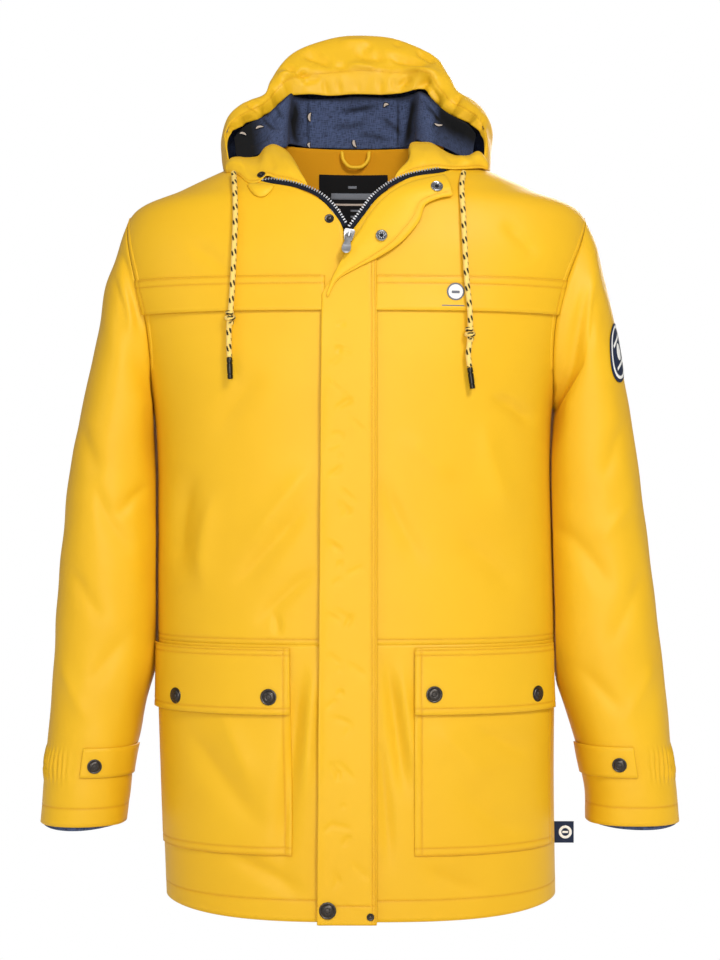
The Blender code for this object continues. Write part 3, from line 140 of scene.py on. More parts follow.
# Sleeves, shoulder to cuff: outer x and z, inner x and z of each half; then middle y and half depth.
SLEEVE_EDGES = {
    "r": tenths(
        (-2722, -1225, -2310, -2985), (-2811, -1471, -2325, -3110), (-2912, -2020, -2330, -3300),
        (-3058, -2703, -2310, -3600), (-3237, -3622, -2285, -4050), (-3304, -4260, -2285, -4450),
        (-3338, -4674, -2290, -4780), (-3382, -5268, -2312, -5320), (-3405, -5694, -2338, -5730),
        (-3444, -6287, -2437, -6300), (-3475, -6612, -2472, -6612), (-3490, -6770, -2500, -6770),
        (-3500, -6930, -2530, -6930), (-3517, -7138, -2553, -7138), (-3545, -7470, -2593, -7470),
    ),
    "l": tenths(
        (2625, -1060, 2250, -2985), (2722, -1460, 2240, -3110), (2830, -1920, 2215, -3300),
        (2965, -2670, 2175, -3550), (3114, -3622, 2155, -4000), (3175, -4150, 2158, -4400),
        (3244, -4674, 2175, -4780), (3310, -5210, 2195, -5270), (3360, -5694, 2228, -5730),
        (3416, -6210, 2323, -6220), (3450, -6600, 2401, -6600), (3470, -6770, 2430, -6770),
        (3490, -6930, 2465, -6930), (3515, -7138, 2505, -7138), (3545, -7460, 2504, -7460),
    ),
}
SLEEVE_DEPTHS = tenths(
    (0, 755), (0, 765), (10, 775), (10, 775), (0, 760), (-20, 735), (-40, 710), (-70, 675), (-90, 645),
    (-110, 615), (-130, 595), (-140, 575), (-140, 570), (-150, 565), (-150, 555),
)

# Hood, from the wearer's right foot over the crown to the left foot. Columns: mouth edge x, y, z;
# outermost rim x, y, z; back of the hood x, y, z; nape seam x, y.
HOOD_STATIONS = tenths(
    (-1405, -520, -235, -1515, -220, -235, -1420, 300, -180, -1220, 300),
    (-1460, -380, -60, -1535, -120, -80, -1440, 450, -80, -1180, 360),
    (-1450, -120, 160, -1545, 20, 170, -1440, 580, 40, -1120, 420),
    (-1370, 40, 250, -1480, 120, 390, -1350, 730, 120, -1060, 470),
    (-1250, 180, 340, -1310, 280, 570, -1220, 880, 200, -980, 540),
    (-1080, 330, 440, -1085, 450, 720, -1020, 1050, 280, -860, 630),
    (-960, 460, 560, -1025, 580, 880, -880, 1200, 360, -700, 715),
    (-830, 550, 700, -915, 680, 1080, -740, 1330, 460, -550, 775),
    (-620, 580, 730, -720, 780, 1260, -560, 1430, 520, -400, 805),
    (-320, 600, 720, -360, 860, 1400, -280, 1500, 580, -200, 825),
    (-20, 600, 740, 0, 880, 1440, 0, 1520, 600, 0, 835),
    (300, 600, 730, 380, 860, 1410, 280, 1500, 580, 200, 825),
    (540, 580, 760, 690, 800, 1290, 560, 1430, 520, 400, 805),
    (730, 520, 780, 900, 700, 1150, 740, 1330, 460, 550, 775),
    (850, 460, 620, 1010, 600, 960, 880, 1200, 360, 700, 715),
    (980, 330, 480, 1100, 470, 760, 1020, 1050, 280, 860, 630),
    (1130, 180, 380, 1270, 320, 620, 1220, 880, 200, 980, 540),
    (1250, 40, 290, 1400, 160, 450, 1350, 730, 120, 1060, 470),
    (1330, -120, 180, 1470, 40, 240, 1420, 580, 40, 1120, 420),
    (1370, -320, 20, 1460, -100, 0, 1410, 450, -80, 1180, 360),
    (1350, -500, -200, 1440, -220, -195, 1390, 300, -150, 1220, 300),
)
HOOD_NAPE_Z = -0.0146
HOOD_SEAT = 0.0008  # height of the hood's foot over the shoulders
HOOD_RISE = 0.0035  # how far the brim's roll stands above its edge

# Hood lining from the wearer's right to left: top x, y, z and foot x, y, z.
LINING_STATIONS = tenths(
    (-1400, -60, 130, -1365, -320, -150), (-1325, 80, 250, -1260, -220, -130),
    (-1224, 195, 343, -1160, -160, -80), (-1040, 300, 460, -1040, -140, -20), (-920, 340, 580, -930, -120, 0),
    (-800, 420, 700, -830, 40, 40), (-740, 600, 700, -785, 400, 130), (-590, 660, 690, -610, 610, 130),
    (-300, 660, 690, -310, 710, 130), (-20, 660, 710, -20, 740, 130), (280, 660, 700, 270, 720, 130),
    (450, 660, 700, 450, 670, 130), (600, 600, 730, 600, 420, 130), (690, 440, 730, 640, 120, 130),
    (810, 340, 640, 740, -100, 60), (930, 240, 500, 860, -140, 40), (1080, 120, 380, 990, -180, -20),
    (1200, -40, 280, 1130, -240, -100), (1280, -180, 150, 1240, -320, -115),
)
LINING_BOW = 0.004  # how far the lining bows to the back between its top and its foot
LINING_SHIFT = 0.0005  # sets its top edge close under the hood's mouth

# Collar facings, outer end to the zip: foot x, y, z and top x, y, z.
COLLAR_STATIONS = {
    "r": tenths(
        (-1475, -560, -330, -1478, -505, -230), (-1400, -640, -350, -1420, -510, -170),
        (-1300, -740, -400, -1340, -490, -150), (-1200, -900, -490, -1240, -440, -150),
        (-1100, -860, -490, -1130, -400, -130), (-1000, -880, -408, -1050, -360, -30),
        (-900, -900, -445, -965, -360, 10), (-790, -930, -460, -850, -420, -40),
        (-690, -960, -485, -740, -600, -170), (-570, -990, -530, -610, -880, -440),
    ),
    "l": tenths(
        (1405, -540, -300, 1400, -500, -190), (1330, -600, -290, 1310, -480, -90),
        (1200, -720, -310, 1180, -430, -130), (1070, -800, -325, 1050, -410, -125),
        (940, -830, -325, 920, -380, -60), (820, -850, -325, 790, -370, 20), (710, -870, -350, 680, -380, 30),
        (600, -890, -380, 560, -440, 10), (490, -920, -380, 515, -600, -180),
        (380, -960, -410, 420, -860, -370),
    ),
}
COLLAR_BULGE = 0.007
COLLAR_SEAT = 0.0009  # from the zip tape's inner edge up to the facing's foot
ZIP_TAPE_START = 0.0012  # the open tape's outer and inner edge, from the front's neck edge
ZIP_TAPE_REACH = 0.0062

# Turned-back top of the placket, fold to top end: zip side x, z; free edge x, z; stand-off.
TURNBACK_STATIONS = tenths(
    (-352, -1740, -338, -1770, 66), (-292, -1570, -235, -1590, 68), (-205, -1395, -40, -1470, 70),
    (-120, -1240, 175, -1360, 72), (-5, -1070, 395, -1220, 72), (95, -905, 540, -1075, 68),
    (215, -750, 640, -930, 62), (350, -635, 690, -785, 56), (520, -545, 830, -710, 52),
    (720, -480, 960, -680, 50), (900, -440, 985, -670, 50),
)

# Drawcords: points from the hood seam down to the knot, then from the knot down: x, z, stand-off.
CORD_ROUTES = {
    "r": tenths((-1356, -400, 42), (-1338, -560, 46), (-1318, -930, 56), (-1326, -1283, 62), (-1334, -1570, 70),
                (-1346, -1870, 88)),
    "l": tenths((1110, -400, 36), (1084, -560, 42), (1092, -880, 56), (1101, -1175, 62), (1113, -1510, 70),
                (1145, -2050, 88)),
}
CORD_TAILS = {
    "r": tenths((-1364, -2085, 86), (-1364, -2244, 86), (-1357, -2395, 86)),
    "l": tenths((1135, -2255, 86), (1122, -2380, 86), (1136, -2500, 86)),
}
CORD_DIAMETER = 0.0058
FLECK_PITCH = 0.017
# Dark yarns in one pitch: place round, place along, half width and half length, as shares.
FLECKS = ((0.36, 0.25, 0.075, 0.17), (0.15, 0.38, 0.075, 0.17), (0.44, 0.8, 0.05, 0.09))

# Snap fasteners: name, x, z, radius, height.
SNAP_CAPS = (
    ("snap_flap_r_outer", -0.195, -0.602, 0.0088, 0.0034),
    ("snap_flap_r_inner", -0.0959, -0.599, 0.0088, 0.0034),
    ("snap_flap_l_inner", 0.0778, -0.596, 0.0088, 0.0034),
    ("snap_flap_l_outer", 0.188, -0.6, 0.0088, 0.0034),
    ("snap_placket_hem", -0.034, -0.8234, 0.0092, 0.0036),
    ("snap_hem_stud", 0.011, -0.83, 0.004, 0.0026),
    ("snap_stud_front", -0.0327, -0.0915, 0.005, 0.003),
)
SNAP_SOCKETS = (
    ("snap_socket_upper", 0.081, -0.0605, 0.0066, 0.0024),
    ("snap_socket_lower", 0.0225, -0.113, 0.0062, 0.0024),
)
CUFF_SNAP = (0.008, 0.0032)
HANGER_LOOP = tenths(
    (-210, 680, 80), (-190, 660, -20), (-120, 645, -95), (-50, 640, -105), (20, 645, -95), (90, 660, -20),
    (105, 680, 80),
)

# Zip slider and its pull tab, in their own frame: X across, Y to the cloth, Z up the zip.
SLIDER_TILT = math.radians(10)
SLIDER_LEAN = math.radians(9)
SLIDER_DEPTH = 0.0026
BRIDGE_WIDTH = 0.002
BRIDGE_BAR = 0.0012
BRIDGE_REACH = 0.0032  # from the hinge line to the outside of each post
HINGE_STAND = 0.0017  # from the slider's face to the hinge line
TAB_THICKNESS = 0.0014
TAB_LEAN = math.radians(26)  # the tab rests outward on the turned-back placket

SIDE_LABEL = (0.2172, 0.2392, -0.7755, -0.7515)  # x from and to, z from and to

# ---- colours and the scene's own sizes
def srgb(code):
    """Linear colour of an sRGB hex code."""
    parts = [int(code[i:i + 2], 16) / 255 for i in (1, 3, 5)]
    return tuple(p / 12.92 if p <= 0.04045 else ((p + 0.055) / 1.055) ** 2.4 for p in parts) + (1.0,)


def placket_wrinkles():
    """Short slanting wrinkles down the placket, uneven but the same each time."""
    for k in range(27):
        x, z = -26 + 9 * math.sin(2.4 * k), -205 - 23 * k
        yield (x, z, -14 + 9 * math.sin(5 * k), z + 18 * math.sin(3.7 * k), 1.5 * math.sin(k), 2.2, 3.2,
               -1.1 - 0.4 * math.sin(1.9 * k))


MM = 0.001
TINY = 1e-12
GROOVE_WIDTH = 0.001
SEAM_SHADE = 0.0013
GROOVE_STEPS = (-0.0022, -0.001, 0.0, 0.001, 0.0022)
HEM_LINE = 0.02  # sewn line above a hem
CAMERA_PLACE = (0, -2.4, -0.3696)
CAMERA_LENS = 80.4
FLOOR_GAP = 0.06  # air between the hem and the floor
WORLD_LIGHT = 0.33
LAMP_COLOR = (1.0, 0.99, 0.97)
LAMPS = (  # name, place, aim, size, watts
    ("key", (1.1, -2.7, 1.6), (0, 0, -0.32), 0.9, 66), ("front", (-0.2, -3.4, -0.1), (0, 0, -0.45), 1.6, 38),
    ("left", (-2.3, -1.6, 0.5), (0, 0, -0.4), 1.2, 8), ("back", (0.6, 2.8, 0.8), (0, 0, -0.35), 1.8, 60),
)
# Creases, in mm: x, z from and to, bow, half width from and to, depth (minus is a trough).
BODY_CREASES = {
    FRONT: (
        (-175, -353, -192, -483, 10, 9.7, 16.1, -5.5), (-152, -375, -168, -500, 8, 9.7, 12.2, 4.3),
        (-52, -388, -144, -492, -4, 7.2, 12.2, -4.3), (-44, -345, -124, -442, 0, 9.7, 12.2, 3.1),
        (-42, -460, -114, -530, 3, 6.5, 9.7, -3.4), (-98, -250, -160, -330, 5, 11.3, 14.5, -3),
        (-91, -508, -85, -536, 0, 3.2, 4, -2.9), (-188, -112, -136, -148, 0, 6.5, 8.1, -2.4),
        (20, -362, 74, -470, 4, 7.2, 10.4, -3.1), (136, -278, 193, -314, -3, 5.7, 10.4, -4.8),
        (130, -300, 168, -415, 6, 11.3, 14.5, 3.7), (40, -315, 102, -378, 0, 9.7, 12.2, 2.4),
        (96, -425, 176, -500, -5, 9.7, 14.5, -3.6), (150, -90, 196, -132, 0, 6.5, 9.7, -2.5),
        (-58, -550, -83, -806, 4, 6.5, 12.9, -7.6), (-48, -556, -60, -720, 0, 5.7, 8.8, 4.8),
        (27, -550, 50, -716, 0, 4.8, 8.8, -6.4), (42, -556, 60, -700, 0, 4.8, 7.2, 4),
        (20, -625, 33, -790, 0, 4.8, 7.2, -4.3), (-190, -625, -88, -752, 6, 11.3, 16.1, -4.3),
        (-150, -610, -110, -700, 0, 11.3, 12.9, 3.1), (72, -618, 148, -694, 4, 11.3, 14.5, 3.6),
        (100, -690, 190, -760, 6, 9.7, 14.5, -3.6), (-146, -768, -54, -812, -4, 7.2, 9.7, -4.3),
        (60, -775, 140, -812, 3, 7.2, 9.7, -3.1), (118, -630, 186, -668, 0, 6.5, 9.7, -2.8),
        (-30, -226, -6, -236, 1, 1.9, 2.8, -1.1), (-34, -262, -18, -280, 0, 1.9, 2.8, -1),
        (-12, -300, 8, -322, 1, 1.9, 2.8, -1), (-36, -338, -20, -330, 0, 1.9, 2.8, 0.8),
        (-24, -376, -2, -398, -1, 1.9, 2.8, -1.1), (-36, -430, -22, -446, 0, 1.9, 2.8, -1),
        (-16, -470, 6, -458, 1, 1.9, 2.8, -1), (-38, -508, -16, -522, 0, 1.9, 3.8, -1.1),
        (-14, -560, 8, -578, 1, 1.9, 2.8, -1), (-38, -612, -22, -600, 0, 1.9, 2.8, -1),
        (-28, -664, -4, -690, -1, 2.8, 3.8, -1.2), (-40, -742, -24, -728, 0, 1.9, 2.8, -1),
        (-10, -770, 10, -792, 1, 1.9, 3.8, -1),
        *placket_wrinkles(),
    ),
    BACK: (
        (-120, -215, -62, -500, 8, 17.8, 21, -7.9), (112, -205, 74, -490, -8, 17.8, 21, -8.3),
        (-30, -300, 20, -420, 5, 11.3, 14.5, 4), (150, -330, 90, -450, 5, 11.3, 14.5, 4.8),
        (-180, -340, -110, -470, -5, 11.3, 14.5, 4.3), (-60, -120, 30, -160, 6, 8.1, 11.3, -3.1),
        (-68, -555, -92, -815, 6, 14.5, 19.4, -9.1), (66, -555, 88, -815, -6, 14.5, 19.4, -8.8),
        (0, -560, 8, -790, 4, 14.5, 19.4, 5.5), (-150, -580, -128, -760, 4, 11.3, 14.5, 4.8),
        (150, -575, 136, -770, -4, 11.3, 14.5, 4.3),
    ),
}
SLEEVE_CREASES = {
    ("r", FRONT): (
        (-265, -112, -233, -214, -3, 3.6, 6, -6.5), (-270, -136, -243, -226, -2, 5, 7, 3.8),
        (-271, -140, -252, -206, -2, 3.2, 4.2, -3.5), (-292, -362, -242, -472, 4, 8.1, 10.8, -3.9),
        (-310, -298, -282, -372, 0, 8.1, 9.9, -3), (-320, -462, -274, -530, 0, 7.2, 9, -2.8),
        (-252, -530, -300, -602, 0, 7.2, 9.9, -2.8), (-236, -370, -270, -414, 0, 5.4, 7.2, -3.3),
        (-330, -560, -290, -640, 3, 7.2, 9.9, 2.4),
    ),
    ("r", BACK): (
        (-262, -110, -238, -220, -3, 7.2, 10.8, -5.4), (-300, -300, -246, -400, 4, 9, 11.7, -4.2),
        (-246, -410, -310, -470, 0, 7.2, 10.8, -3.6), (-325, -520, -262, -600, 4, 8.1, 10.8, -3),
    ),
    ("l", FRONT): (
        (250, -140, 217, -345, 3, 5, 9, -6.3), (262, -150, 250, -235, 3, 4, 6, -2.4),
        (217, -408, 278, -500, -4, 8.1, 10.8, -3.8), (292, -298, 261, -376, 0, 8.1, 9.9, -3),
        (314, -464, 266, -560, 0, 8.1, 10.8, -2.8), (238, -566, 292, -630, 0, 7.2, 9.9, -2.7),
        (300, -390, 256, -440, 0, 6.3, 8.1, 2.2), (322, -560, 284, -640, -3, 7.2, 9.9, 2.2),
    ),
    ("l", BACK): (
        (255, -120, 230, -240, 3, 7.2, 10.8, -5.4), (290, -310, 236, -395, -4, 9, 11.7, -3.9),
        (240, -420, 305, -480, 0, 7.2, 10.8, -3.6), (318, -530, 256, -610, -4, 8.1, 10.8, -3),
    ),
}
HANG_IN = {"r": 0.008, "l": 0.0125}  # how far each sleeve's inner front is drawn to the body
HOOD_PITCH = 0.0022  # fine grid of the hood and its lining
BRIM_LINES = (0.016,)
HOOD_CREASES = (
    (-90, 108, -52, 93, 3, 3.9, 4.7, -7.4), (-71, 121, -28, 104, -3, 3.9, 5.5, -5.9),
    (-10, 124, 32, 116, 2, 4.7, 5.5, -5), (-28, 136, 18, 138, 0, 4.7, 5.5, 4.1),
    (26, 121, 86, 106, 3, 3.9, 5.5, -6.6), (42, 114, 98, 93, 4, 4.7, 5.5, 5.9),
    (62, 128, 91, 109, 0, 3.9, 4.7, -5.9), (-100, 94, -60, 104, 3, 3.9, 4.7, 5.4),
    (-43, 94, -70, 84, 0, 3.1, 3.1, -4.1), (60, 94, 42, 80, 0, 3.1, 3.1, -4.1),
    (84, 88, 62, 78, 0, 3.1, 3.1, -4.1), (-20, 108, 24, 100, -2, 3.9, 4.7, 4.6),
    (-130, 60, -112, 44, 0, 3.1, 3.9, -5), (116, 70, 102, 52, 0, 3.1, 3.9, -5.4),
    (-64, 127, -41, 119, 0, 3, 3, -2.6), (-60, 107, -48, 110, 0, 2.5, 3, -2.2),
    (-31, 105, -12, 107, 0, 2.5, 3, -2.5), (-4, 126, 15, 132, 1, 3, 3, -2.6), (15, 121, 35, 112, 1, 3, 3, -2.8),
    (37, 136, 49, 132, 0, 2.5, 3, -2), (49, 114, 64, 104, 1, 2.5, 3, -2.4), (15, 109, 44, 104, -1, 2, 3, -2),
    (-36, 64, -42, 92, 0, 2, 3, -2.6), (-19, 64, -28, 92, 0, 2, 3, -2.6), (1, 64, -5, 90, 0, 2, 3, -2.4),
    (25, 64, 22, 93, 0, 2, 3, -2.6), (50, 68, 33, 93, 0, 2, 3, -2.4), (90, 60, 80, 84, 0, 2.5, 3, -2.8),
    (-148, 26, -140, 4, 0, 3.1, 3.9, -4.6), (140, 40, 132, 18, 0, 3.1, 3.9, -5),
)
# Gathers along the hood's mouth: place in stations, half width, depth in mm.
HOOD_GATHERS = (
    (2, 0.2, 2), (2.7, 0.22, -2.4), (3.3, 0.2, 2.6), (3.9, 0.22, -2.8), (4.5, 0.24, 3), (5.1, 0.22, -2.8),
    (5.7, 0.22, 2.8), (6.3, 0.24, -2.8), (6.9, 0.22, 2.6), (7.4, 0.2, -1.9), (8.1, 0.22, 1.6), (8.8, 0.2, -1.5),
    (9.5, 0.2, 1.1), (10.2, 0.2, -1.2), (11, 0.2, 1.3), (11.7, 0.2, -1.5), (12.3, 0.22, 2), (12.9, 0.22, -2.4),
    (13.5, 0.22, 2.8), (14.1, 0.24, -2.8), (14.7, 0.24, 3), (15.3, 0.22, -2.8), (15.9, 0.24, 3),
    (16.5, 0.24, -2.8), (17.1, 0.22, 2.6), (17.7, 0.22, -2.2), (18.3, 0.22, 1.8),
)
LINING_CREASES = (
    (60, 76, 47, 12, 2, 2.7, 3.6, -4.7), (-111, 53, -86, 22, 2, 3.6, 4.5, -5.9),
    (-88, 66, -118, 32, -2, 3.6, 4.5, 5.9), (-78, 54, -67, 12, 0, 3.6, 3.6, -4.7),
    (-36, 50, 18, 60, 2, 3.6, 4.5, -3.1), (74, 66, 112, 18, 2, 3.6, 4.5, -5.9),
    (87, 70, 128, 22, 2, 3.6, 4.5, 5.9), (-60, 72, -59, 12, 0, 1.4, 1.4, -1.8),
    (43, 72, 42, 12, 0, 1.4, 1.4, -1.8), (-30, 30, 26, 22, 3, 4.5, 5.4, 2.9),
    (96, 30, 118, 10, 0, 3.6, 4.5, -3.9), (-100, 20, -124, 4, 0, 3.6, 4.5, -3.9),
)
LINING_SHADE = ((0, 1.9, 2.3, 2.9, 3.6, 14.3, 14.9, 18), (1.0, 1.0, 0.8, 0.3, 0, 0, 1.0, 1.0))
# Shaded folds of the lining: as creases, with the shade's share instead of a depth.
LINING_SHADOWS = (
    (-75, 80, -72, 0, 0, 5, 7, 1.1), (64, 84, 51, 0, 0, 5, 6, 1.1), (-60, 84, -59, 0, 0, 1.3, 1.3, 0.8),
    (44, 84, 43, 0, 0, 1.3, 1.3, 0.8), (-24, 56, 26, 64, 2, 2.5, 3.5, 0.8), (-38, 38, 16, 46, 3, 3, 5, 0.5),
    (-118, 50, -92, 22, 2, 3, 4, 0.8), (70, 66, 108, 22, 3, 3, 4, 0.8), (-10, 28, 40, 20, -3, 3, 5, 0.6),
    (24, 52, 50, 30, 2, 3, 4, 0.6), (-104, 62, -86, 34, -2, 2, 3, 0.7), (90, 50, 80, 16, 0, 3, 3, 0.6),
)
# Dashes of the lining: x, z, lean in degrees and length, in mm.
LINING_DASHES = (
    (-58, 49, 4, 10), (-114, 28, 62, 9), (-132, 18, 84, 8), (-7, 19, -12, 10), (88, 29, -70, 9),
    (-58, 15, 10, 6), (30, 62, 60, 6),
)
COLLAR_CREASES = (
    (-128, -20, -104, -42, 3, 4, 5, -2.1), (-104, -10, -92, -40, -2, 4, 5, -2.3),
    (-84, -14, -70, -44, 2, 4, 5, 2.1), (60, -8, 50, -38, 2, 4, 5, -2.3), (74, -6, 66, -34, 0, 4, 5, 2),
    (88, -8, 108, -30, 2, 4, 5, -2.2), (104, -14, 128, -28, 2, 4, 5, 2.1),
)
KNOT_LENGTH = 0.0125
KNOT_RADIUS = 0.0036
KNOT_TURNS = 2.25
TOOTH_SIZE = (0.003, 0.0015, 0.0022)
# Profiles of the turned pieces: each step's rise and radius, as shares of the height and radius.
CAP_PROFILE = (
    (0.3, 1), (0.16, 0.97), (0.04, 0.88), (-0.1, 0.82), (0, 0.76), (0.22, 0.7), (0.14, 0.58), (0.08, 0.42),
    (-0.08, 0.38), (0, 0.3), (0.12, 0.26), (0.04, 0.12),
)
STUD_PROFILE = (
    (0.25, 1), (0.12, 0.9), (-0.12, 0.72), (0, 0.52), (0.5, 0.46), (0.2, 0.36), (0.05, 0.18),
)
SOCKET_PROFILE = (
    (0.4, 1), (0.3, 0.94), (0.12, 0.84), (-0.12, 0.7), (-0.4, 0.56), (0, 0.34), (0.25, 0.28), (0, 0.12),
)
TIP_PROFILE = (
    (0.0012, 0.0031), (0.004, 0.0031), (0.0005, 0.0026), (0.0008, 0.0026), (0.0005, 0.0031), (0.01, 0.003),
    (0.0004, 0.0026), (0.0008, 0.0026), (0.0004, 0.003), (0.0035, 0.0029), (0.0008, 0.0022),
)
COLLAR_STUD = (-0.106, -0.0408, 0.0046, 0.0028)  # x, z, radius, height
# Plates of the slider and its tab, from the hinge line: height and half width, in mm, top to bottom.
SLIDER_ROWS = (
    (6.4, 3.6), (5.9, 4.9), (4.6, 5.7), (1.5, 5.6), (-2, 4.9), (-4.8, 4.4), (-6.3, 4.2),
)
TAB_ROWS = (
    (1.1, 2.6), (0.5, 3.4), (-6.2, 3.1), (-8.5, 3.1), (-12, 3.4), (-15.5, 4.2), (-18.5, 4.8), (-21.5, 4.8),
    (-24, 4.1), (-25.8, 2.8), (-26.8, 1.2),
)
COLLAR_CURL = (-0.1205, 0.0275, -0.0515, 0.015)  # x, width, z, drop
TAPE_TAILS = {"r": (-0.014, -0.001), "l": (0.004, 0.001)}
ARMHOLE_BAND = 0.0065  # width of the turned seam beside each armhole
CHEST_DISC = (0.1008, -0.1702, 0.0092, 0.0029)  # x, z, radius, stand-off
SLEEVE_PATCH = (3.35, 4.0, 0.44, 1.85)  # middle row and column, half height and half width
NECK_BARS = (  # foot, top, left and right as shares of the label, and ink
    (0.78, 0.82, -0.12, 0.12, "grey print"), (0.6, 0.7, -0.62, 0.62, "grey print"),
    (0.5, 0.53, -0.7, 0.7, "beige print"), (0.34, 0.44, -0.7, -0.35, "beige print"),
    (0.4, 0.43, -0.05, 0.62, "grey print"), (0.3, 0.33, -0.05, 0.5, "grey print"),
)


# ---- settings a user would change
def size_setting(name, description, default, low, digits=4, **limits):
    return bpy.props.FloatProperty(name=name, description=description, default=default, min=low,
                                   unit="LENGTH", precision=digits, **limits)


def colour_setting(name, description, code):
    return bpy.props.FloatVectorProperty(name=name, description=description, default=srgb(code), size=4, min=0,
                                         max=1, subtype="COLOR")


class RaincoatSizes(bpy.types.PropertyGroup):
    """Sizes of the sewing, folds and trims"""
    stitch_pitch: size_setting("Stitch Pitch", "Distance from one stitch to the next", 0.0033, 0.001)
    stitch_length: size_setting("Stitch Length", "Length of thread that shows in a stitch", 0.0025, 0.0005)
    thread_width: size_setting("Thread Width", "Width of the sewing thread", 0.0005, 0.0002, 5)
    fold_share: bpy.props.FloatProperty(
        name="Fold Depth", description="Share of the full depth of the soft folds", default=1.0, min=0.0,
        max=1.5, subtype="FACTOR")
    cord_diameter: size_setting("Cord Diameter", "Diameter of the drawcords", CORD_DIAMETER, 0.003, max=0.007)
    tooth_pitch: size_setting("Tooth Pitch", "Distance from one zip tooth to the next", 0.0032, 0.0015)


class RaincoatColours(bpy.types.PropertyGroup):
    """Colours of the cloths and cords"""
    cloth: colour_setting("Coated Cloth", "Colour of the coated outer cloth", "#E4B31E")
    facing: colour_setting("Facing", "Colour of the facing inside the neck", "#E8B822")
    lining: colour_setting("Lining", "Colour of the lining's darker yarns", "#272F45")
    cord: colour_setting("Cord", "Ground colour of the drawcords", "#F0CB70")


# ---- cloth grids
def unit(ways):
    """Vectors made 1 long."""
    return ways / (np.linalg.norm(ways, axis=-1, keepdims=True) + TINY)


def arc(path):
    """Distance of each point of a path from its first one."""
    return np.concatenate([[0], np.cumsum(np.linalg.norm(np.diff(path, axis=0), axis=1))])


def arcs(grid, axis):
    """Mean distance of each row (axis 0) or column (axis 1) from the first one."""
    gaps = np.linalg.norm(np.diff(grid[..., :3], axis=axis), axis=-1).mean(axis=1 - axis)
    return np.concatenate([[0], np.cumsum(gaps)])


def spline(stack, counts, closed=False):
    """Smooth curve through the rows of `stack`, with counts[i] points to each stretch."""
    stack = np.asarray(stack, float)
    if closed:
        stack = np.concatenate([stack[-1:], stack, stack[:2]])
    flat = stack.reshape(len(stack), -1)
    steps = np.linalg.norm(np.diff(flat, axis=0), axis=1) + 1e-9
    slopes = np.diff(flat, axis=0) / steps[:, None]
    tangents = np.empty_like(flat)
    tangents[0], tangents[-1] = slopes[0], slopes[-1]
    weight = (steps[1:] / (steps[1:] + steps[:-1]))[:, None]
    tangents[1:-1] = slopes[:-1] * weight + slopes[1:] * (1 - weight)
    rows, places = [], []
    for index, i in enumerate(range(1, len(stack) - 2) if closed else range(len(stack) - 1)):
        t = (np.arange(counts[index]) / counts[index])[:, None]
        a, b = flat[i], flat[i + 1]
        da, db = tangents[i] * steps[i], tangents[i + 1] * steps[i]
        rows.append(a * (1 - 3 * t ** 2 + 2 * t ** 3) + da * (t - 2 * t ** 2 + t ** 3)
                    + b * (3 * t ** 2 - 2 * t ** 3) + db * (t ** 3 - t ** 2))
        places.append(index + t[:, 0])
    if not closed:
        rows.append(flat[-1:])
        places.append(np.array([len(stack) - 1.0]))
    return np.concatenate(rows).reshape(-1, *stack.shape[1:]), np.concatenate(places)


def curve(points, count):
    """Smooth curve through points, with `count` points to each stretch."""
    return spline(points, [count] * (len(points) - 1))[0]


def refine(grid, pitch, closed=False):
    """A coarse grid made fine: the grid, and each fine row's and column's coarse place."""
    down, round_way = pitch if isinstance(pitch, tuple) else (pitch, pitch)

    def counts(stack, pitch):
        gaps = np.linalg.norm(np.diff(stack[..., :3], axis=0), axis=-1).mean(axis=1)
        return np.maximum(1, np.ceil(gaps / pitch)).astype(int)

    grid = np.asarray(grid, float)
    fine, rows = spline(grid, counts(grid, down))
    turned = fine.transpose(1, 0, 2)
    ring = np.concatenate([turned, turned[:1]]) if closed else turned
    fine, columns = spline(turned, counts(ring, round_way), closed)
    return fine.transpose(1, 0, 2), rows, columns


def sewn_at(lines, axis, reach):
    """Distances of the sewn lines from the start of one axis of a grid that is `reach` long."""
    start, end = (("low", "high"), ("first", "last"))[axis]
    return [*lines.get(start, ()), *(reach - gap for gap in lines.get(end, ()))]


def insert_lines(grid, places, axis, lines):
    """Add rows or columns on and beside the sewn lines, so that they show as real grooves."""
    at = arcs(grid, axis)
    extra = np.array([line + step for line in sewn_at(lines, axis, at[-1]) for step in GROOVE_STEPS])
    if not len(extra):
        return grid, places
    extra = extra[(extra > 0.0002) & (extra < at[-1] - 0.0002)]
    keep = [a for a in at[1:-1] if abs(extra - a).min() > 0.0006]
    new = np.sort(np.concatenate([[0], keep, extra, [at[-1]]]))
    low = np.clip(np.searchsorted(at, new, side="right") - 1, 0, len(at) - 2)
    share = (new - at[low]) / (at[low + 1] - at[low])
    shape = [1] * grid.ndim
    shape[axis] = -1
    a, b = np.take(grid, low, axis=axis), np.take(grid, low + 1, axis=axis)
    return a + (b - a) * share.reshape(shape), places[low] + (places[low + 1] - places[low]) * share


def normals_of(grid, outward, closed=False):
    """Unit normals of a grid, all on the side of `outward`."""
    if closed:
        across_way = np.roll(grid, -1, axis=1) - np.roll(grid, 1, axis=1)
    else:
        across_way = np.gradient(grid, axis=1)
    normals = unit(np.cross(across_way, np.gradient(grid, axis=0)))
    return -normals if (normals * outward).sum() < 0 else normals


def wobble(a, b, size, seed=0.0):
    """Smooth uneven waves between about -1 and 1, `size` metres apart."""
    total = np.zeros(np.broadcast(a, b).shape)
    for k in range(5):
        turn = 1.3 + 2.4 * k + seed
        stretch = (0.7 + 0.23 * k) * 2 * math.pi / size
        total = total + np.sin((a * math.cos(turn) + b * math.sin(turn)) * stretch + 5 * turn)
    return total / 3.2


# ---- body form
SECTION_TABLE = curve(BODY_SECTIONS, 12)


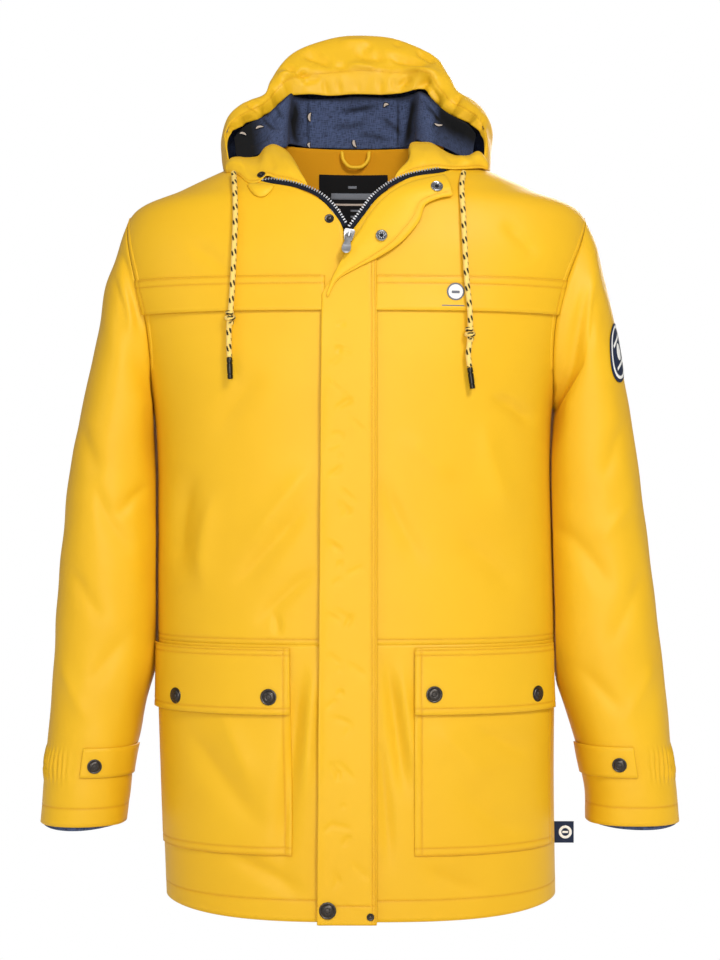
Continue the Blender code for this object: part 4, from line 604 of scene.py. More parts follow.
def section(z):
    """Middle x, half width, front depth and back depth of the body at each height."""
    return [np.interp(-np.asarray(z, float), -SECTION_TABLE[:, 0], SECTION_TABLE[:, k]) for k in range(1, 5)]


def across(x, z):
    middle, half = section(z)[:2]
    return (x - middle) / half


def turn_of(u):
    """Angle round the body's section for a share u of its half width."""
    u = np.clip(u, -1, 1)
    return np.arcsin(np.sign(u) * np.abs(u) ** (ROUNDNESS / 2))


def body(turn, z, side):
    """Points and outward normals of the body form at angles round it and heights."""
    turn, z = np.broadcast_arrays(np.asarray(turn, float), np.asarray(z, float))
    power = 2 / ROUNDNESS

    def spot(height):
        middle, half, front, back = section(height)
        return middle, half, front if side == FRONT else back

    middle, half, depth = spot(z)
    u = np.sign(turn) * np.abs(np.sin(turn)) ** power
    v = np.abs(np.cos(turn)) ** power
    x, y = middle + half * u, side * depth * v

    def level(height):
        m, h, d = spot(height)
        return (np.abs(x - m) / h) ** ROUNDNESS + (np.abs(y) / d) ** ROUNDNESS

    step = 0.0015
    normal = unit(np.stack([
        ROUNDNESS * np.sign(u) * np.abs(u) ** (ROUNDNESS - 1) / half,
        ROUNDNESS * side * v ** (ROUNDNESS - 1) / depth,
        (level(z + step) - level(z - step)) / (2 * step)], axis=-1))
    return np.stack([x, y, z], axis=-1) + normal * creases(x, z, BODY_CREASES[side])[..., None], normal


def on_body(x, z, side=FRONT):
    """Point and normal of the body form in front of or behind a place given by x and z."""
    return body(turn_of(across(x, z)), z, side)


def creases(x, z, table):
    """Soft troughs and ridges along the short lines of a table."""
    total = np.zeros(np.broadcast(x, z).shape)
    share = bpy.context.scene.raincoat_sizes.fold_share
    for x0, z0, x1, z1, bow, wide0, wide1, depth in table:
        run = np.array([x1 - x0, z1 - z0]) * MM
        length = math.hypot(*run)
        run /= length
        px, pz = x - x0 * MM, z - z0 * MM
        t = (px * run[0] + pz * run[1]) / length
        off = px * run[1] - pz * run[0] - bow * MM * 4 * t * (1 - t)
        wide = (wide0 + (wide1 - wide0) * np.clip(t, 0, 1)) * MM
        fade = np.clip(t / 0.35, 0, 1) * np.clip((1 - t) / 0.35, 0, 1)
        fade = fade * fade * (3 - 2 * fade)
        total = total + share * depth * MM * fade * np.exp(-np.abs(off / wide) ** 1.7)
    return total


def shoulder_height(x, y):
    """Height of the body form over places near the neck and shoulders."""
    low, high = np.full(x.shape, -0.2), np.zeros(x.shape)
    for _ in range(24):
        z = (low + high) / 2
        middle, half, front, back = section(z)
        depth = np.where(y < 0, front, back)
        inside = (np.abs(x - middle) / half) ** ROUNDNESS + (np.abs(y) / depth) ** ROUNDNESS < 1
        low, high = np.where(inside, z, low), np.where(inside, high, z)
    return low


def armhole_place(angle, side):
    """(u, z) of the armhole's edge at an angle from the shoulder tip."""
    turn = math.radians(angle)
    z = ARMHOLE_MIDDLE_Z + ARMHOLE_HALF_HEIGHT * math.cos(turn)
    y = ARMHOLE_DEPTH[side] * math.sin(turn)
    depth = float(section(z)[2 if side == FRONT else 3])
    return (1 - (y / depth) ** ROUNDNESS) ** (1 / ROUNDNESS), z


def hem_height(u):
    return HEM_SIDE_Z - HEM_FRONT_DROP * (1 - abs(u) ** 4)


def panel_grid(places, side, lines, pitch):
    """Fine grid on the body form from rows of (u, z) places, with rows for its sewn lines."""
    places = np.asarray(places, float)
    turn = turn_of(places[..., 0])
    points = body(turn, places[..., 1], side)[0]
    fine, rows, columns = refine(np.concatenate([points, turn[..., None], places[..., 1:]], axis=-1), pitch)
    fine = insert_lines(insert_lines(fine, rows, 0, lines)[0], columns, 1, lines)[0]
    points, normals = body(fine[..., 3], fine[..., 4], side)
    near = np.abs(points[..., 1]) < SEAM_GAP
    points[..., 1] = np.where(near, side * SEAM_GAP, points[..., 1])
    return points, normals


# ---- walls, tubes and stitches
def sew(points, normals, lines, margin=0.004, depth=0.00035, closed=False):
    """Press the sewn lines into a grid and lay their stitches: edge name to distances from it."""
    seam, runs = np.zeros(points.shape[:2]), []
    for axis in (0, 1):
        at = arcs(points, axis)
        for line in sewn_at(lines, axis, at[-1]):
            off = np.expand_dims(at - line, 1 - axis)
            # Painted shade along each sewn line, darkest on the line; the finish darkens the colour by it.
            seam = np.maximum(seam, np.exp(-(off / SEAM_SHADE) ** 2))
            runs.append((axis, int(np.abs(at - line).argmin()), off))
    along = points[..., 0] + points[..., 1] + points[..., 2]
    for _, index, off in runs:
        pucker = 0.00022 * np.exp(-(off / 0.006) ** 2) * wobble(along, along * 0, 0.022, index)
        points = points + normals * (pucker - depth * np.exp(-(off / GROOVE_WIDTH) ** 2))[..., None]
    for axis, index, _ in runs:
        run = [np.take(grid, index, axis=axis) for grid in (points, normals)]
        if closed and axis == 0:
            STITCH_RUNS.append((*(np.concatenate([g, g[:1]]) for g in run), 0.0))
        else:
            STITCH_RUNS.append((*run, margin))
    return points, seam


def shell(name, points, normals, thickness, stuff, closed=False, seam=None):
    """Cloth wall: the outer face, an inner face a thickness behind, and rounded edges."""
    rows, columns = points.shape[:2]
    inner = points - normals * thickness
    number = rows * columns
    index = np.arange(number).reshape(rows, columns)
    vertices = [points.reshape(-1, 3), inner.reshape(-1, 3)]
    across_at = np.concatenate([np.zeros((rows, 1)), np.cumsum(
        np.linalg.norm(np.diff(points, axis=1), axis=-1), axis=1)], axis=1)
    down_at = np.repeat(arcs(points, 0)[:, None], columns, axis=1)
    uv = [np.stack([across_at, down_at], axis=-1).reshape(-1, 2)] * 2
    ring = np.concatenate([index, index[:, :1]], axis=1) if closed else index
    outer_faces = np.stack([ring[:-1, :-1], ring[:-1, 1:], ring[1:, 1:], ring[1:, :-1]], axis=-1).reshape(-1, 4)
    faces = [outer_faces, outer_faces[:, ::-1] + number]
    if closed:
        edges = [(index[0], index[1], 1), (index[-1], index[-2], -1)]
    else:
        edges = [(np.concatenate([index[0, :-1], index[:-1, -1], index[-1, :0:-1], index[:0:-1, 0]]),
                  np.concatenate([index[1, :-1], index[:-1, -2], index[-2, :0:-1], index[:0:-1, 1]]), 1)]
    flat_mid, flat_out, offset = ((points + inner) / 2).reshape(-1, 3), points.reshape(-1, 3), 2 * number
    for loop, inward, way in edges:
        vertices.append(flat_mid[loop] + unit(flat_out[loop] - flat_out[inward]) * thickness * 0.35)
        uv.append(uv[0][loop])
        mid = np.arange(len(loop)) + offset
        offset += len(loop)
        after, mid_after = np.roll(loop, -1), np.roll(mid, -1)
        for quad in ((after, loop, mid, mid_after), (mid_after, mid, loop + number, after + number)):
            faces.append(np.stack(quad, axis=-1)[:, ::way])
    faces = np.concatenate(faces)
    faces = faces[:, ::-1] if is_turned(points, normals) else faces
    made = mesh_object(name, np.concatenate(vertices), faces, stuff)
    corners = np.empty(len(made.data.loops), int)
    made.data.loops.foreach_get("vertex_index", corners)
    lay_uv(made, np.concatenate(uv)[corners])
    if seam is not None:
        add_value(made, "seam", np.concatenate([seam.ravel()] * 2 + [seam.ravel()[loop] for loop, _, _ in edges]))
    made["one_side"] = float(np.linalg.norm(np.cross(
        flat_out[outer_faces[:, 2]] - flat_out[outer_faces[:, 0]],
        flat_out[outer_faces[:, 3]] - flat_out[outer_faces[:, 1]]), axis=-1).sum() / 2)
    made["spread"] = [float(across_at[:, -1].max()), float(arcs(points, 0)[-1])]
    return made


def is_turned(points, normals):
    """Whether a grid's faces look against its normals."""
    return (np.cross(np.gradient(points, axis=1), np.gradient(points, axis=0)) * normals).sum() < 0


def mesh_object(name, vertices, faces, stuff):
    mesh = bpy.data.meshes.new(name)
    mesh.from_pydata(np.asarray(vertices).tolist(), [], [[int(i) for i in f] for f in faces])
    mesh.shade_smooth()
    mesh.materials.append(finish_of(stuff))
    made = bpy.data.objects.new(name, mesh)
    bpy.context.scene.collection.objects.link(made)
    return made


def lay_uv(made, spots):
    layer = made.data.uv_layers.new(name="UVMap")
    layer.data.foreach_set("uv", np.asarray(spots, np.float32).ravel())


def add_value(made, name, values):
    made.data.attributes.new(name, "FLOAT", "POINT").data.foreach_set("value", np.asarray(values, np.float32))


def part_piece(made, node=None, body_name="coat"):
    """Tie a piece to its body."""
    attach(made, body_name)
    if node:
        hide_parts(node)
    return made


def cloth(name, points, normals, thickness, stuff, node, held, rests_on, slot=None, **how):
    """A cloth wall tied to the coat, with the size of its cut stated."""
    made = shell(name, points, normals, thickness, stuff, **how)
    part_piece(made, node)
    return made


def along_path(path, spacing, margin=0.0):
    """Places every `spacing` metres along a path: indices and shares between its points."""
    at = arc(path)
    spots = np.arange(margin + spacing / 2, at[-1] - margin, spacing)
    low = np.clip(np.searchsorted(at, spots, side="right") - 1, 0, len(at) - 2)
    return low, ((spots - at[low]) / (at[low + 1] - at[low] + TINY))[:, None]


def make_thread():
    """Threads of all the sewn lines as one piece: a small bead for each stitch."""
    if not STITCH_RUNS:
        raise RuntimeError("The panels are made before their stitches")
    sizes = bpy.context.scene.raincoat_sizes
    long, wide = sizes.stitch_length, sizes.thread_width
    shape = np.array([(-0.5, 0, 0), (-0.2, 0.5, 0.2), (-0.2, 0, 0.9), (-0.2, -0.5, 0.2), (0.2, 0.5, 0.2),
                      (0.2, 0, 0.9), (0.2, -0.5, 0.2), (0.5, 0, 0), (0, 0, -0.4)])
    sides = [(0, 2, 1), (0, 3, 2), (1, 2, 5, 4), (2, 3, 6, 5), (7, 4, 5), (7, 5, 6), (0, 1, 8), (1, 4, 8),
             (4, 7, 8), (7, 6, 8), (6, 3, 8), (3, 0, 8)]
    beads = []
    for path, ways, margin in STITCH_RUNS:
        low, share = along_path(path, sizes.stitch_pitch, margin)
        gap, up = path[low + 1] - path[low], ways[low]
        spots, run = path[low] + gap * share, unit(gap)
        side = np.cross(up, run)
        beads.append(np.stack([spots + run * a * long + side * b * wide + up * (c * wide + 0.00005)
                               for a, b, c in shape], axis=1).reshape(-1, 3))
    beads = np.concatenate(beads)
    faces = [[first + i for i in face] for first in range(0, len(beads), len(shape)) for face in sides]
    made = mesh_object("sewing_thread", beads, faces, "thread")
    form = bmesh.new()
    form.from_mesh(made.data)
    bmesh.ops.recalc_face_normals(form, faces=form.faces)
    form.to_mesh(made.data)
    form.free()
    part_piece(made)


def tube(name, path, radius, stuff, sides=16, flecks=False):
    """Closed round tube along points, with UV: once round, and metres along."""
    run = unit(np.gradient(path, axis=0))
    side = unit(np.cross(run, np.array([0.0, -1.0, 0.05])))
    up = np.cross(side, run)
    at, rows = arc(path), len(path)
    turns = np.arange(sides) * 2 * math.pi / sides
    ring = (side[:, None] * np.cos(turns)[None, :, None] + up[:, None] * np.sin(turns)[None, :, None])
    vertices = [*(path[:, None] + ring * radius).reshape(-1, 3), path[0], path[-1]]
    faces, uv = [], []
    for r in range(rows - 1):
        for c in range(sides):
            n = (c + 1) % sides
            faces.append((r * sides + c, r * sides + n, (r + 1) * sides + n, (r + 1) * sides + c))
            u, v, low, high = c / sides, (c + 1) / sides, at[r], at[r + 1]
            uv += [(u, low), (v, low), (v, high), (u, high)]
    for c in range(sides):
        n, last = (c + 1) % sides, (rows - 1) * sides
        faces += [(rows * sides, n, c), (rows * sides + 1, last + c, last + n)]
        uv += [(0.5, at[0]), ((c + 1) / sides, at[0]), (c / sides, at[0]),
               (0.5, at[-1]), (c / sides, at[-1]), ((c + 1) / sides, at[-1])]
    made = mesh_object(name, vertices, faces, stuff)
    lay_uv(made, uv)
    if flecks:
        add_value(made, "seam", fleck_values(at, sides))
    return made


def fleck_values(at, sides):
    """Dark yarns of the cord: slanted pairs and a small one between, again and again along it."""
    u = (np.arange(sides) / sides)[None, :]
    f = (at / FLECK_PITCH % 1)[:, None]
    total = np.zeros((len(at), sides))
    for u0, f0, wide, long in FLECKS:
        down = (f - f0 + 0.5) % 1 - 0.5
        round_way = (u - u0 - 0.3 * down + 0.5) % 1 - 0.5
        total = np.maximum(total, np.clip(1.6 - 1.2 * ((round_way / wide) ** 4 + (down / long) ** 4), 0, 1))
    return np.concatenate([total.ravel(), (0, 0)])


# ---- finishes
def add_node(tree, kind, inputs=None, out=None, **settings):
    """One shader node; an input is a value or the socket that feeds it. Returns one output, or the node."""
    made = tree.nodes.new(kind)
    for name, value in settings.items():
        setattr(made, name, value)
    for key, value in (inputs or {}).items():
        if isinstance(value, bpy.types.NodeSocket):
            tree.links.new(value, made.inputs[key])
        else:
            made.inputs[key].default_value = value
    return made if out is None else made.outputs[out]


def mix(tree, share, first, second):
    return add_node(tree, "ShaderNodeMix", {0: share, 6: first, 7: second}, 2, data_type="RGBA")


def noise(tree, place, scale, detail=3.0):
    return add_node(tree, "ShaderNodeTexNoise", {"Vector": place, "Scale": scale, "Detail": detail}, "Fac")


def bump(tree, height, distance, strength, **more):
    return add_node(tree, "ShaderNodeBump", {"Height": height, "Distance": distance, "Strength": strength, **more},
                    "Normal")


def scaled(tree, value, low, high, **more):
    return add_node(tree, "ShaderNodeMapRange", {"Value": value, "To Min": low, "To Max": high, **more}, 0)


def marks_of(tree):
    """The piece's painted shade values, or a cord's fleck values."""
    return add_node(tree, "ShaderNodeAttribute", out="Fac", attribute_name="seam")


def new_finish(name, **values):
    """An empty material with its Principled shader, and the shader's plain values."""
    made = bpy.data.materials.new(name)
    made.use_nodes = True
    shader = made.node_tree.nodes["Principled BSDF"]
    for key, value in values.items():
        shader.inputs[key.replace("_", " ")].default_value = value
    return made, made.node_tree, shader


def feed(tree, shader, **sockets):
    for key, socket in sockets.items():
        tree.links.new(socket, shader.inputs[key.replace("_", " ")])


def shaded(color, share):
    """A colour made darker, or lighter above 1."""
    return tuple(min(1.0, value * share) for value in color[:3]) + (1.0,)


def coated_cloth(name, color, rough, ior=1.33):
    """Polyester plain weave with a smooth polyurethane face: a satin, slightly waxy surface that is a little
    cloudy over a hand's width, with painted shade in the sewn channels."""
    made, tree, shader = new_finish(name, IOR=ior)
    place = add_node(tree, "ShaderNodeTexCoord", out="Object")
    cloud = noise(tree, place, 11.0)
    # Share of the darker colour: random cloudiness, plus the painted shade beside the sewn lines from the seam
    # attribute.
    cloud_and_seam_shade = add_node(tree, "ShaderNodeMath", {0: cloud, 1: 0.22}, 0, operation="MULTIPLY")
    cloud_and_seam_shade = add_node(tree, "ShaderNodeMath", {0: marks_of(tree), 1: 0.36, 2: cloud_and_seam_shade}, 0, operation="MULTIPLY_ADD")
    # A darker, more orange copy of the colour, for the cloudiness and the painted seam shade.
    deep = (color[0] * 0.74, color[1] * 0.52, color[2] * 0.4, 1.0)
    # The coating's grain is about 0.5 mm wide; it is drawn at 0.9 mm so that it still shows.
    fine = bump(tree, noise(tree, place, 1100.0, 2.0), 0.0001, 0.3)
    # Slack between the threads and the coating lifts soft spots about 25 mm wide.
    soft = bump(tree, noise(tree, place, 38.0), 0.001, 0.3, Normal=fine)
    feed(tree, shader, Base_Color=mix(tree, cloud_and_seam_shade, color, deep), Normal=soft,
         Roughness=scaled(tree, cloud, rough - 0.05, rough + 0.06))
    return made


def melange_lining(name, color):
    """Chambray lining woven from indigo and pale yarns: fine cross streaks and a matt face."""
    made, tree, shader = new_finish(name, Roughness=0.92, IOR=1.4)
    uv = add_node(tree, "ShaderNodeTexCoord", out="UV")
    mixed = color
    # Yarns are 0.35 mm apart; the streaks are drawn at about 0.8 mm so that they still show.
    for scale in ((1000.0, 130.0, 1.0), (130.0, 1000.0, 1.0)):
        yarn = noise(tree, add_node(tree, "ShaderNodeMapping", {"Vector": uv, "Scale": scale}, 0), 1.0, 2.0)
        share = scaled(tree, yarn, 0.0, 0.72, **{"From Min": 0.42, "From Max": 0.6})
        mixed = mix(tree, share, mixed, shaded(color, 3.1))
    # Where the seam attribute is high, the colour goes nearly black: painted shade in the lining's recesses, along
    # its folds and under the hood's mouth.
    feed(tree, shader, Base_Color=mix(tree, marks_of(tree), mixed, shaded(color, 0.03)),
         Normal=bump(tree, yarn, 0.0002, 0.6))
    return made


def trim_finish(name, color, rough, metal=0.0, grain=900.0, relief=0.00005, marks=None):
    """A cast, woven or printed trim. The grain is one over its size in metres; where it has marks,
    such as a cord's flecks, they come from the piece's own attribute."""
    made, tree, shader = new_finish(name, Metallic=metal, IOR=1.5 if metal else 1.3)
    cloud = noise(tree, add_node(tree, "ShaderNodeTexCoord", out="Object"), grain)
    mixed = mix(tree, cloud, shaded(color, 0.75), shaded(color, 1.2))
    feed(tree, shader, Base_Color=mix(tree, marks_of(tree), mixed, marks) if marks else mixed,
         Roughness=scaled(tree, cloud, rough - 0.06, rough + 0.06), Normal=bump(tree, cloud, relief, 0.5))
    return made


def make_finish(stuff):
    """The material of one stuff, named for the real one and how its surface was made; the neck facing's name also
    says its painted shade.
    """
    tint = bpy.context.scene.raincoat_colours
    if stuff == "coated cloth":
        return coated_cloth("Polyurethane-coated polyester, calendered", tint.cloth, 0.46)
    if stuff == "coated facing":
        return coated_cloth("Coated facing cloth, calendered", tint.facing, 0.52)
    if stuff == "neck facing":
        # The neck facing is a darker, more orange copy of the facing colour: painted shade inside the back of the
        # neck.
        return coated_cloth("Coated neck facing, matt, painted shade", srgb("#CA8C12"), 0.8, ior=1.2)
    if stuff == "lining":
        return melange_lining("Chambray lining, yarn-dyed and woven", tint.lining)
    if stuff == "cord":
        # Braided from fine pale yarns with black ones let in: a matt, slightly fuzzy round cord.
        return trim_finish("Polyester cord, braided", tint.cord, 0.85, grain=1500.0, relief=0.0003,
                           marks=srgb("#15140F"))
    name, color, *rest = TRIMS[stuff]
    return trim_finish(name, srgb(color), *rest)


# Name and way of making, colour, roughness, metallic, grains to a metre, and relief. What each
# gives the eye: thread is soft and silky; tape is a dull dark twill; teeth and slider are bright
# with small glints; gunmetal is dark with a worn satin; labels are tight satin weave; prints are flat.
TRIMS = {
    "thread": ("Polyester thread, spun", "#DDA91F", 0.6, 0, 1800, 0.00005),
    "zip tape": ("Polyester zip tape, woven twill", "#141823", 0.9, 0, 1300, 0.0003),
    "zip teeth": ("Zinc teeth, cast and nickelled", "#D2D4D8", 0.5, 1, 700, 0.00003),
    "nickel": ("Zinc slider, cast and nickelled", "#B4B5B8", 0.46, 1, 500, 0.00003),
    "snap metal": ("Brass snap, pressed, antique gunmetal", "#4A4643", 0.36, 1, 600, 0.00006),
    "silver ring": ("Brass eyelet, pressed and nickelled", "#A8A9AC", 0.26, 1, 600, 0.00004),
    "cord tip": ("Brass cord end, crimped, black nickel", "#3A3833", 0.3, 1, 700, 0.00004),
    "black label": ("Polyester label, woven satin, black", "#08080A", 0.85, 0, 1500, 0.0001),
    "navy label": ("Polyester label, woven satin, navy", "#1D2740", 0.68, 0, 1500, 0.0001),
    "pale print": ("Plastisol ink, screen printed, white", "#EDEBE6", 0.55, 0, 900, 0.00003),
    "grey print": ("Plastisol ink, screen printed, grey", "#6C7078", 0.55, 0, 900, 0.00003),
    "beige print": ("Plastisol ink, screen printed, beige", "#B7A99C", 0.7, 0, 900, 0.00003),
    # The dark print also stands in as painted shade in the holes of the snap sockets.
    "dark print and hole shade": ("Plastisol ink, screen printed, dark", "#15171F", 0.7, 0, 900, 0.00003),
}
MADE_FINISHES = {}
STITCH_RUNS = []  # points, normals and free ends of each sewn line
SURFACES = {}  # finished grids that later pieces lie on


def finish_of(stuff):
    if stuff not in MADE_FINISHES:
        MADE_FINISHES[stuff] = make_finish(stuff)
    return MADE_FINISHES[stuff]


# ---- coat pieces
def front_places(half):
    """(u, z) rows of one upper front, from the waist to the shoulder."""
    sign, rows = SIDES[half], []
    edge = [*((FRONT_EDGE_X, z) for z in SIDE_ROWS + EDGE_ROWS), *NECK_EDGES[half],
            (sign * NECK_SIDE[0], NECK_SIDE[1])]
    for index, (edge_x, edge_z) in enumerate(edge):
        start = float(across(edge_x + sign * SEAM_GAP / 2, edge_z))
        outer, outer_z = 1, edge_z
        if index >= len(SIDE_ROWS):
            outer, outer_z = armhole_place(ARMHOLE_ANGLES[len(edge) - 1 - index], FRONT)
        rows.append([(start + (sign * outer - start) * f, edge_z + (outer_z - edge_z) * f)
                     for f in FRONT_COLUMNS[half]])
    rows[-1] = [(sign, z) for _, z in rows[-1]]
    return np.array(rows)


def skirt_places(half):
    """(u, z) rows of one front skirt, from the waist seam to the hem."""
    sign, rows = SIDES[half], []
    for z in SKIRT_ROWS + (None,):
        start = float(across(FRONT_EDGE_X + sign * SEAM_GAP / 2, HEM_SIDE_Z if z is None else z))
        us = [start + (sign - start) * f for f in FRONT_COLUMNS[half]]
        rows.append([(u, hem_height(u) if z is None else z) for u in us])
    return np.array(rows)


BACK_COUNT = 11  # columns of each half of the back
BACK_COLUMNS = [math.sin(math.pi / 2 * k / BACK_COUNT) ** 0.8 for k in range(BACK_COUNT + 1)]
BACK_NECK_SHARE = 0.45  # share of the top row that is the neck's edge


def back_places():
    """(u, z) rows of the back above the waist, up to the neck and shoulders."""
    tip_z = ARMHOLE_MIDDLE_Z + ARMHOLE_HALF_HEIGHT
    levels = SIDE_ROWS + ARMHOLE_ANGLES[::-1]
    rows = []
    for index, value in enumerate(levels):
        outer, outer_z, middle_z, pull = 1, value, value, 0
        if index >= len(SIDE_ROWS):
            outer, outer_z = armhole_place(value, BACK)
            climb = (index - len(SIDE_ROWS) + 1) / len(ARMHOLE_ANGLES)
            middle_z = SIDE_ROWS[-1] + (NECK_BACK_Z - SIDE_ROWS[-1]) * climb
            pull = (index / (len(levels) - 1)) ** 4
        row = []
        for k, f in enumerate(BACK_COLUMNS):
            share = k / BACK_COUNT
            if share <= BACK_NECK_SHARE:
                bend = share / BACK_NECK_SHARE
                top = (bend, NECK_BACK_Z + (NECK_SIDE[1] - NECK_BACK_Z) * bend ** 2)
            else:
                bend = (share - BACK_NECK_SHARE) / (1 - BACK_NECK_SHARE)
                top = (1, NECK_SIDE[1] + (tip_z - NECK_SIDE[1]) * bend)
            straight = (f, NECK_BACK_Z + (tip_z - NECK_BACK_Z) * f)
            row.append((outer * f + (top[0] - straight[0]) * pull,
                        middle_z + (outer_z - middle_z) * f + (top[1] - straight[1]) * pull))
        rows.append([(-u, z) for u, z in reversed(row[1:])] + row)
    return np.array(rows)


def skirt_back_places():
    signed = [-f for f in reversed(BACK_COLUMNS[1:])] + BACK_COLUMNS
    return np.array([[(u, z) for u in signed] for z in BACK_SKIRT_ROWS] + [[(u, hem_height(u)) for u in signed]])


def panel(node, places, lines, rests_on, side=FRONT, stand=0.0, thickness=CLOTH, stuff="coated cloth", held="hung",
          curl=None, pitch=0.004, name=None):
    """A sewn panel or layer on the body form, with its lines, stitches and cut."""
    points, normals = panel_grid(places, side, lines, pitch)
    down, over = (arcs(points, axis) / arcs(points, axis)[-1] for axis in (0, 1))
    lift = stand + (curl(down[:, None], over[None, :]) if curl else 0)
    points = points + normals * (lift * np.ones(points.shape[:2]))[..., None]
    points, seam = sew(points, normals, lines)
    cloth(name or "cloth_" + node, points, normals, thickness, stuff, node, held, rests_on, seam=seam)


def places_at(stations):
    """(u, z) rows from rows of (x, z) points."""
    return np.array([[(float(across(x, z)), z) for x, z in row] for row in stations])


def make_body():
    """Upper fronts, back and skirts, with the yokes, pockets and flaps on them."""
    layer = {"stand": LAYER_GAP + TRIM, "thickness": TRIM, "held": "laid"}
    for half in SIDES:
        upper, skirt, columns = front_places(half), skirt_places(half), POCKET_COLUMNS[half]
        on_upper, on_skirt = "cloth_front_upper_" + half, "cloth_front_skirt_" + half
        panel("front_upper_" + half, upper, {"low": (0.0055,), "last": (0.007,)}, "neck_facing", pitch=0.0035)
        panel("yoke_" + half, upper[7:9, YOKE_COLUMNS], {"high": (0.001, 0.0085), "last": (0.007,)}, on_upper,
              curl=lambda v, u: 0.0018 * (1 - v) ** 2, **layer)
        panel("front_skirt_" + half, skirt, {"high": (HEM_LINE,)}, on_upper)
        panel("pocket_" + half, skirt[2:7, columns],
              {"first": (0.0075,), "last": (0.0075,), "high": (0.0008, 0.008)}, on_skirt, **layer)
        panel("pocket_flap_" + half, skirt[1:4, columns],
              {"first": (0.0065,), "last": (0.0065,), "high": (0.0065,), "low": (0.002, 0.0075)}, on_skirt,
              stand=2 * LAYER_GAP + 2 * TRIM + 0.0004, thickness=TRIM, curl=lambda v, u: 0.0022 * v ** 2)
    panel("back_upper", back_places(), {"low": (0.0055,)}, "neck_facing", BACK, pitch=0.0055)
    panel("back_skirt", skirt_back_places(), {"high": (HEM_LINE,)}, "cloth_back_upper", BACK, pitch=0.0055)


PLACKET_EDGES = (-0.04, 0.0174)  # free and sewn edge; the free one runs out by the slant to the hem
PLACKET_SLANT = 0.0045
PLACKET_TOP = ((0, -0.173), (0.2, -0.155), (0.41, -0.137), (0.7, -0.132), (1, -0.129))  # share, z
PLACKET_LEVELS = (-0.19, -0.23, -0.29, -0.34, -0.4, -0.47, WAIST_Z, -0.58, -0.6175, -0.665, -0.715,
                  -0.767, -0.798, -0.8385)
CLOSED_ZIP_HALF = 0.011


def make_placket():
    """Placket over the closed zip, the zip's tape under it, and the placket's turned-back top."""
    left, right = PLACKET_EDGES
    rows = [[(left + (right - left) * s, z) for s, z in PLACKET_TOP]]
    for z in PLACKET_LEVELS:
        spread = -PLACKET_SLANT * max(0, (-0.18 - z) / 0.66)
        rows.append([(left + spread + (right - left - spread) * s, z) for s, _ in PLACKET_TOP])
    panel("placket", places_at(rows), {"last": (0.0016, 0.005), "high": (HEM_LINE,)}, "cloth_front_upper_r",
          stand=0.0042, thickness=0.0018, held="laid", pitch=0.0022,
          curl=lambda v, u: 0.003 * (1 - u) ** 8 * (0.8 + 0.2 * np.sin(37 * v)) * np.clip(v * 16 - 1, 0, 1))
    rows = [[(FRONT_EDGE_X + side * CLOSED_ZIP_HALF, z) for side in (-1, 0, 1)] for z in PLACKET_LEVELS[:-1]]
    panel("zip_closed", places_at(rows), {}, "cloth_front_upper_r", stand=0.0014, thickness=0.0009,
          stuff="zip tape", held="laid", name="zip_closed_tape")
    grid = []
    for index, (x0, z0, x1, z1, stand) in enumerate(TURNBACK_STATIONS):
        line = []
        for s in (0, 0.33, 0.67, 1):
            point, normal = on_body(x0 + (x1 - x0) * s, z0 + (z1 - z0) * s)
            line.append(point + normal * (stand + 0.003 * math.sin(math.pi * s) * min(1, index / 4)))
        grid.append(line)
    points, _, _ = refine(grid, 0.003)
    normals = normals_of(points, np.array([0, -1.0, 0.3]))
    points, seam = sew(points, normals, {"last": (0.0045,)}, margin=0.006, depth=0.0004)
    cloth("cloth_placket_turnback", points, normals, 0.0018, "coated facing", "placket_turnback", "folded",
          "cloth_front_upper_l", seam=seam)


def sleeve_rings(half):
    """Rows of points down a sleeve, the first on the armhole's edge."""
    sign, first, power = SIDES[half], [], 2 / SLEEVE_ROUNDNESS
    for angle in SLEEVE_ANGLES:
        side = FRONT if angle >= 0 else BACK
        u, z = armhole_place(abs(angle), side)
        point = body(turn_of(sign * u), z, side)[0]
        if abs(angle) in (0, 180):
            point[1] = 0
        first.append(point + (sign * 2 * SEAM_GAP, 0, 0))
    rings = [first]
    for (ox, oz, ix, iz), (y, half_depth) in zip(SLEEVE_EDGES[half], SLEEVE_DEPTHS):
        middle = np.array([(ox + ix) / 2, y, (oz + iz) / 2])
        long_way = np.array([(ox - ix) / 2, 0, (oz - iz) / 2])
        ring = []
        for angle in SLEEVE_ANGLES:
            c, s = math.cos(math.radians(angle)), math.sin(math.radians(angle))
            spoke = long_way * math.copysign(abs(c) ** power, c)
            ring.append(middle + (spoke + (0, -half_depth * math.copysign(abs(s) ** power, s), 0)))
        rings.append(ring)
    return np.array(rings)


SLEEVE_ANGLES = (*ARMHOLE_ANGLES, *(-angle for angle in ARMHOLE_ANGLES[-2:0:-1]))
SLEEVE_LINES = {"high": (HEM_LINE,)}
CUFF_TAB = (10.9, 13.1, 7.6, 11.05)  # rows and columns of the sleeve that it covers


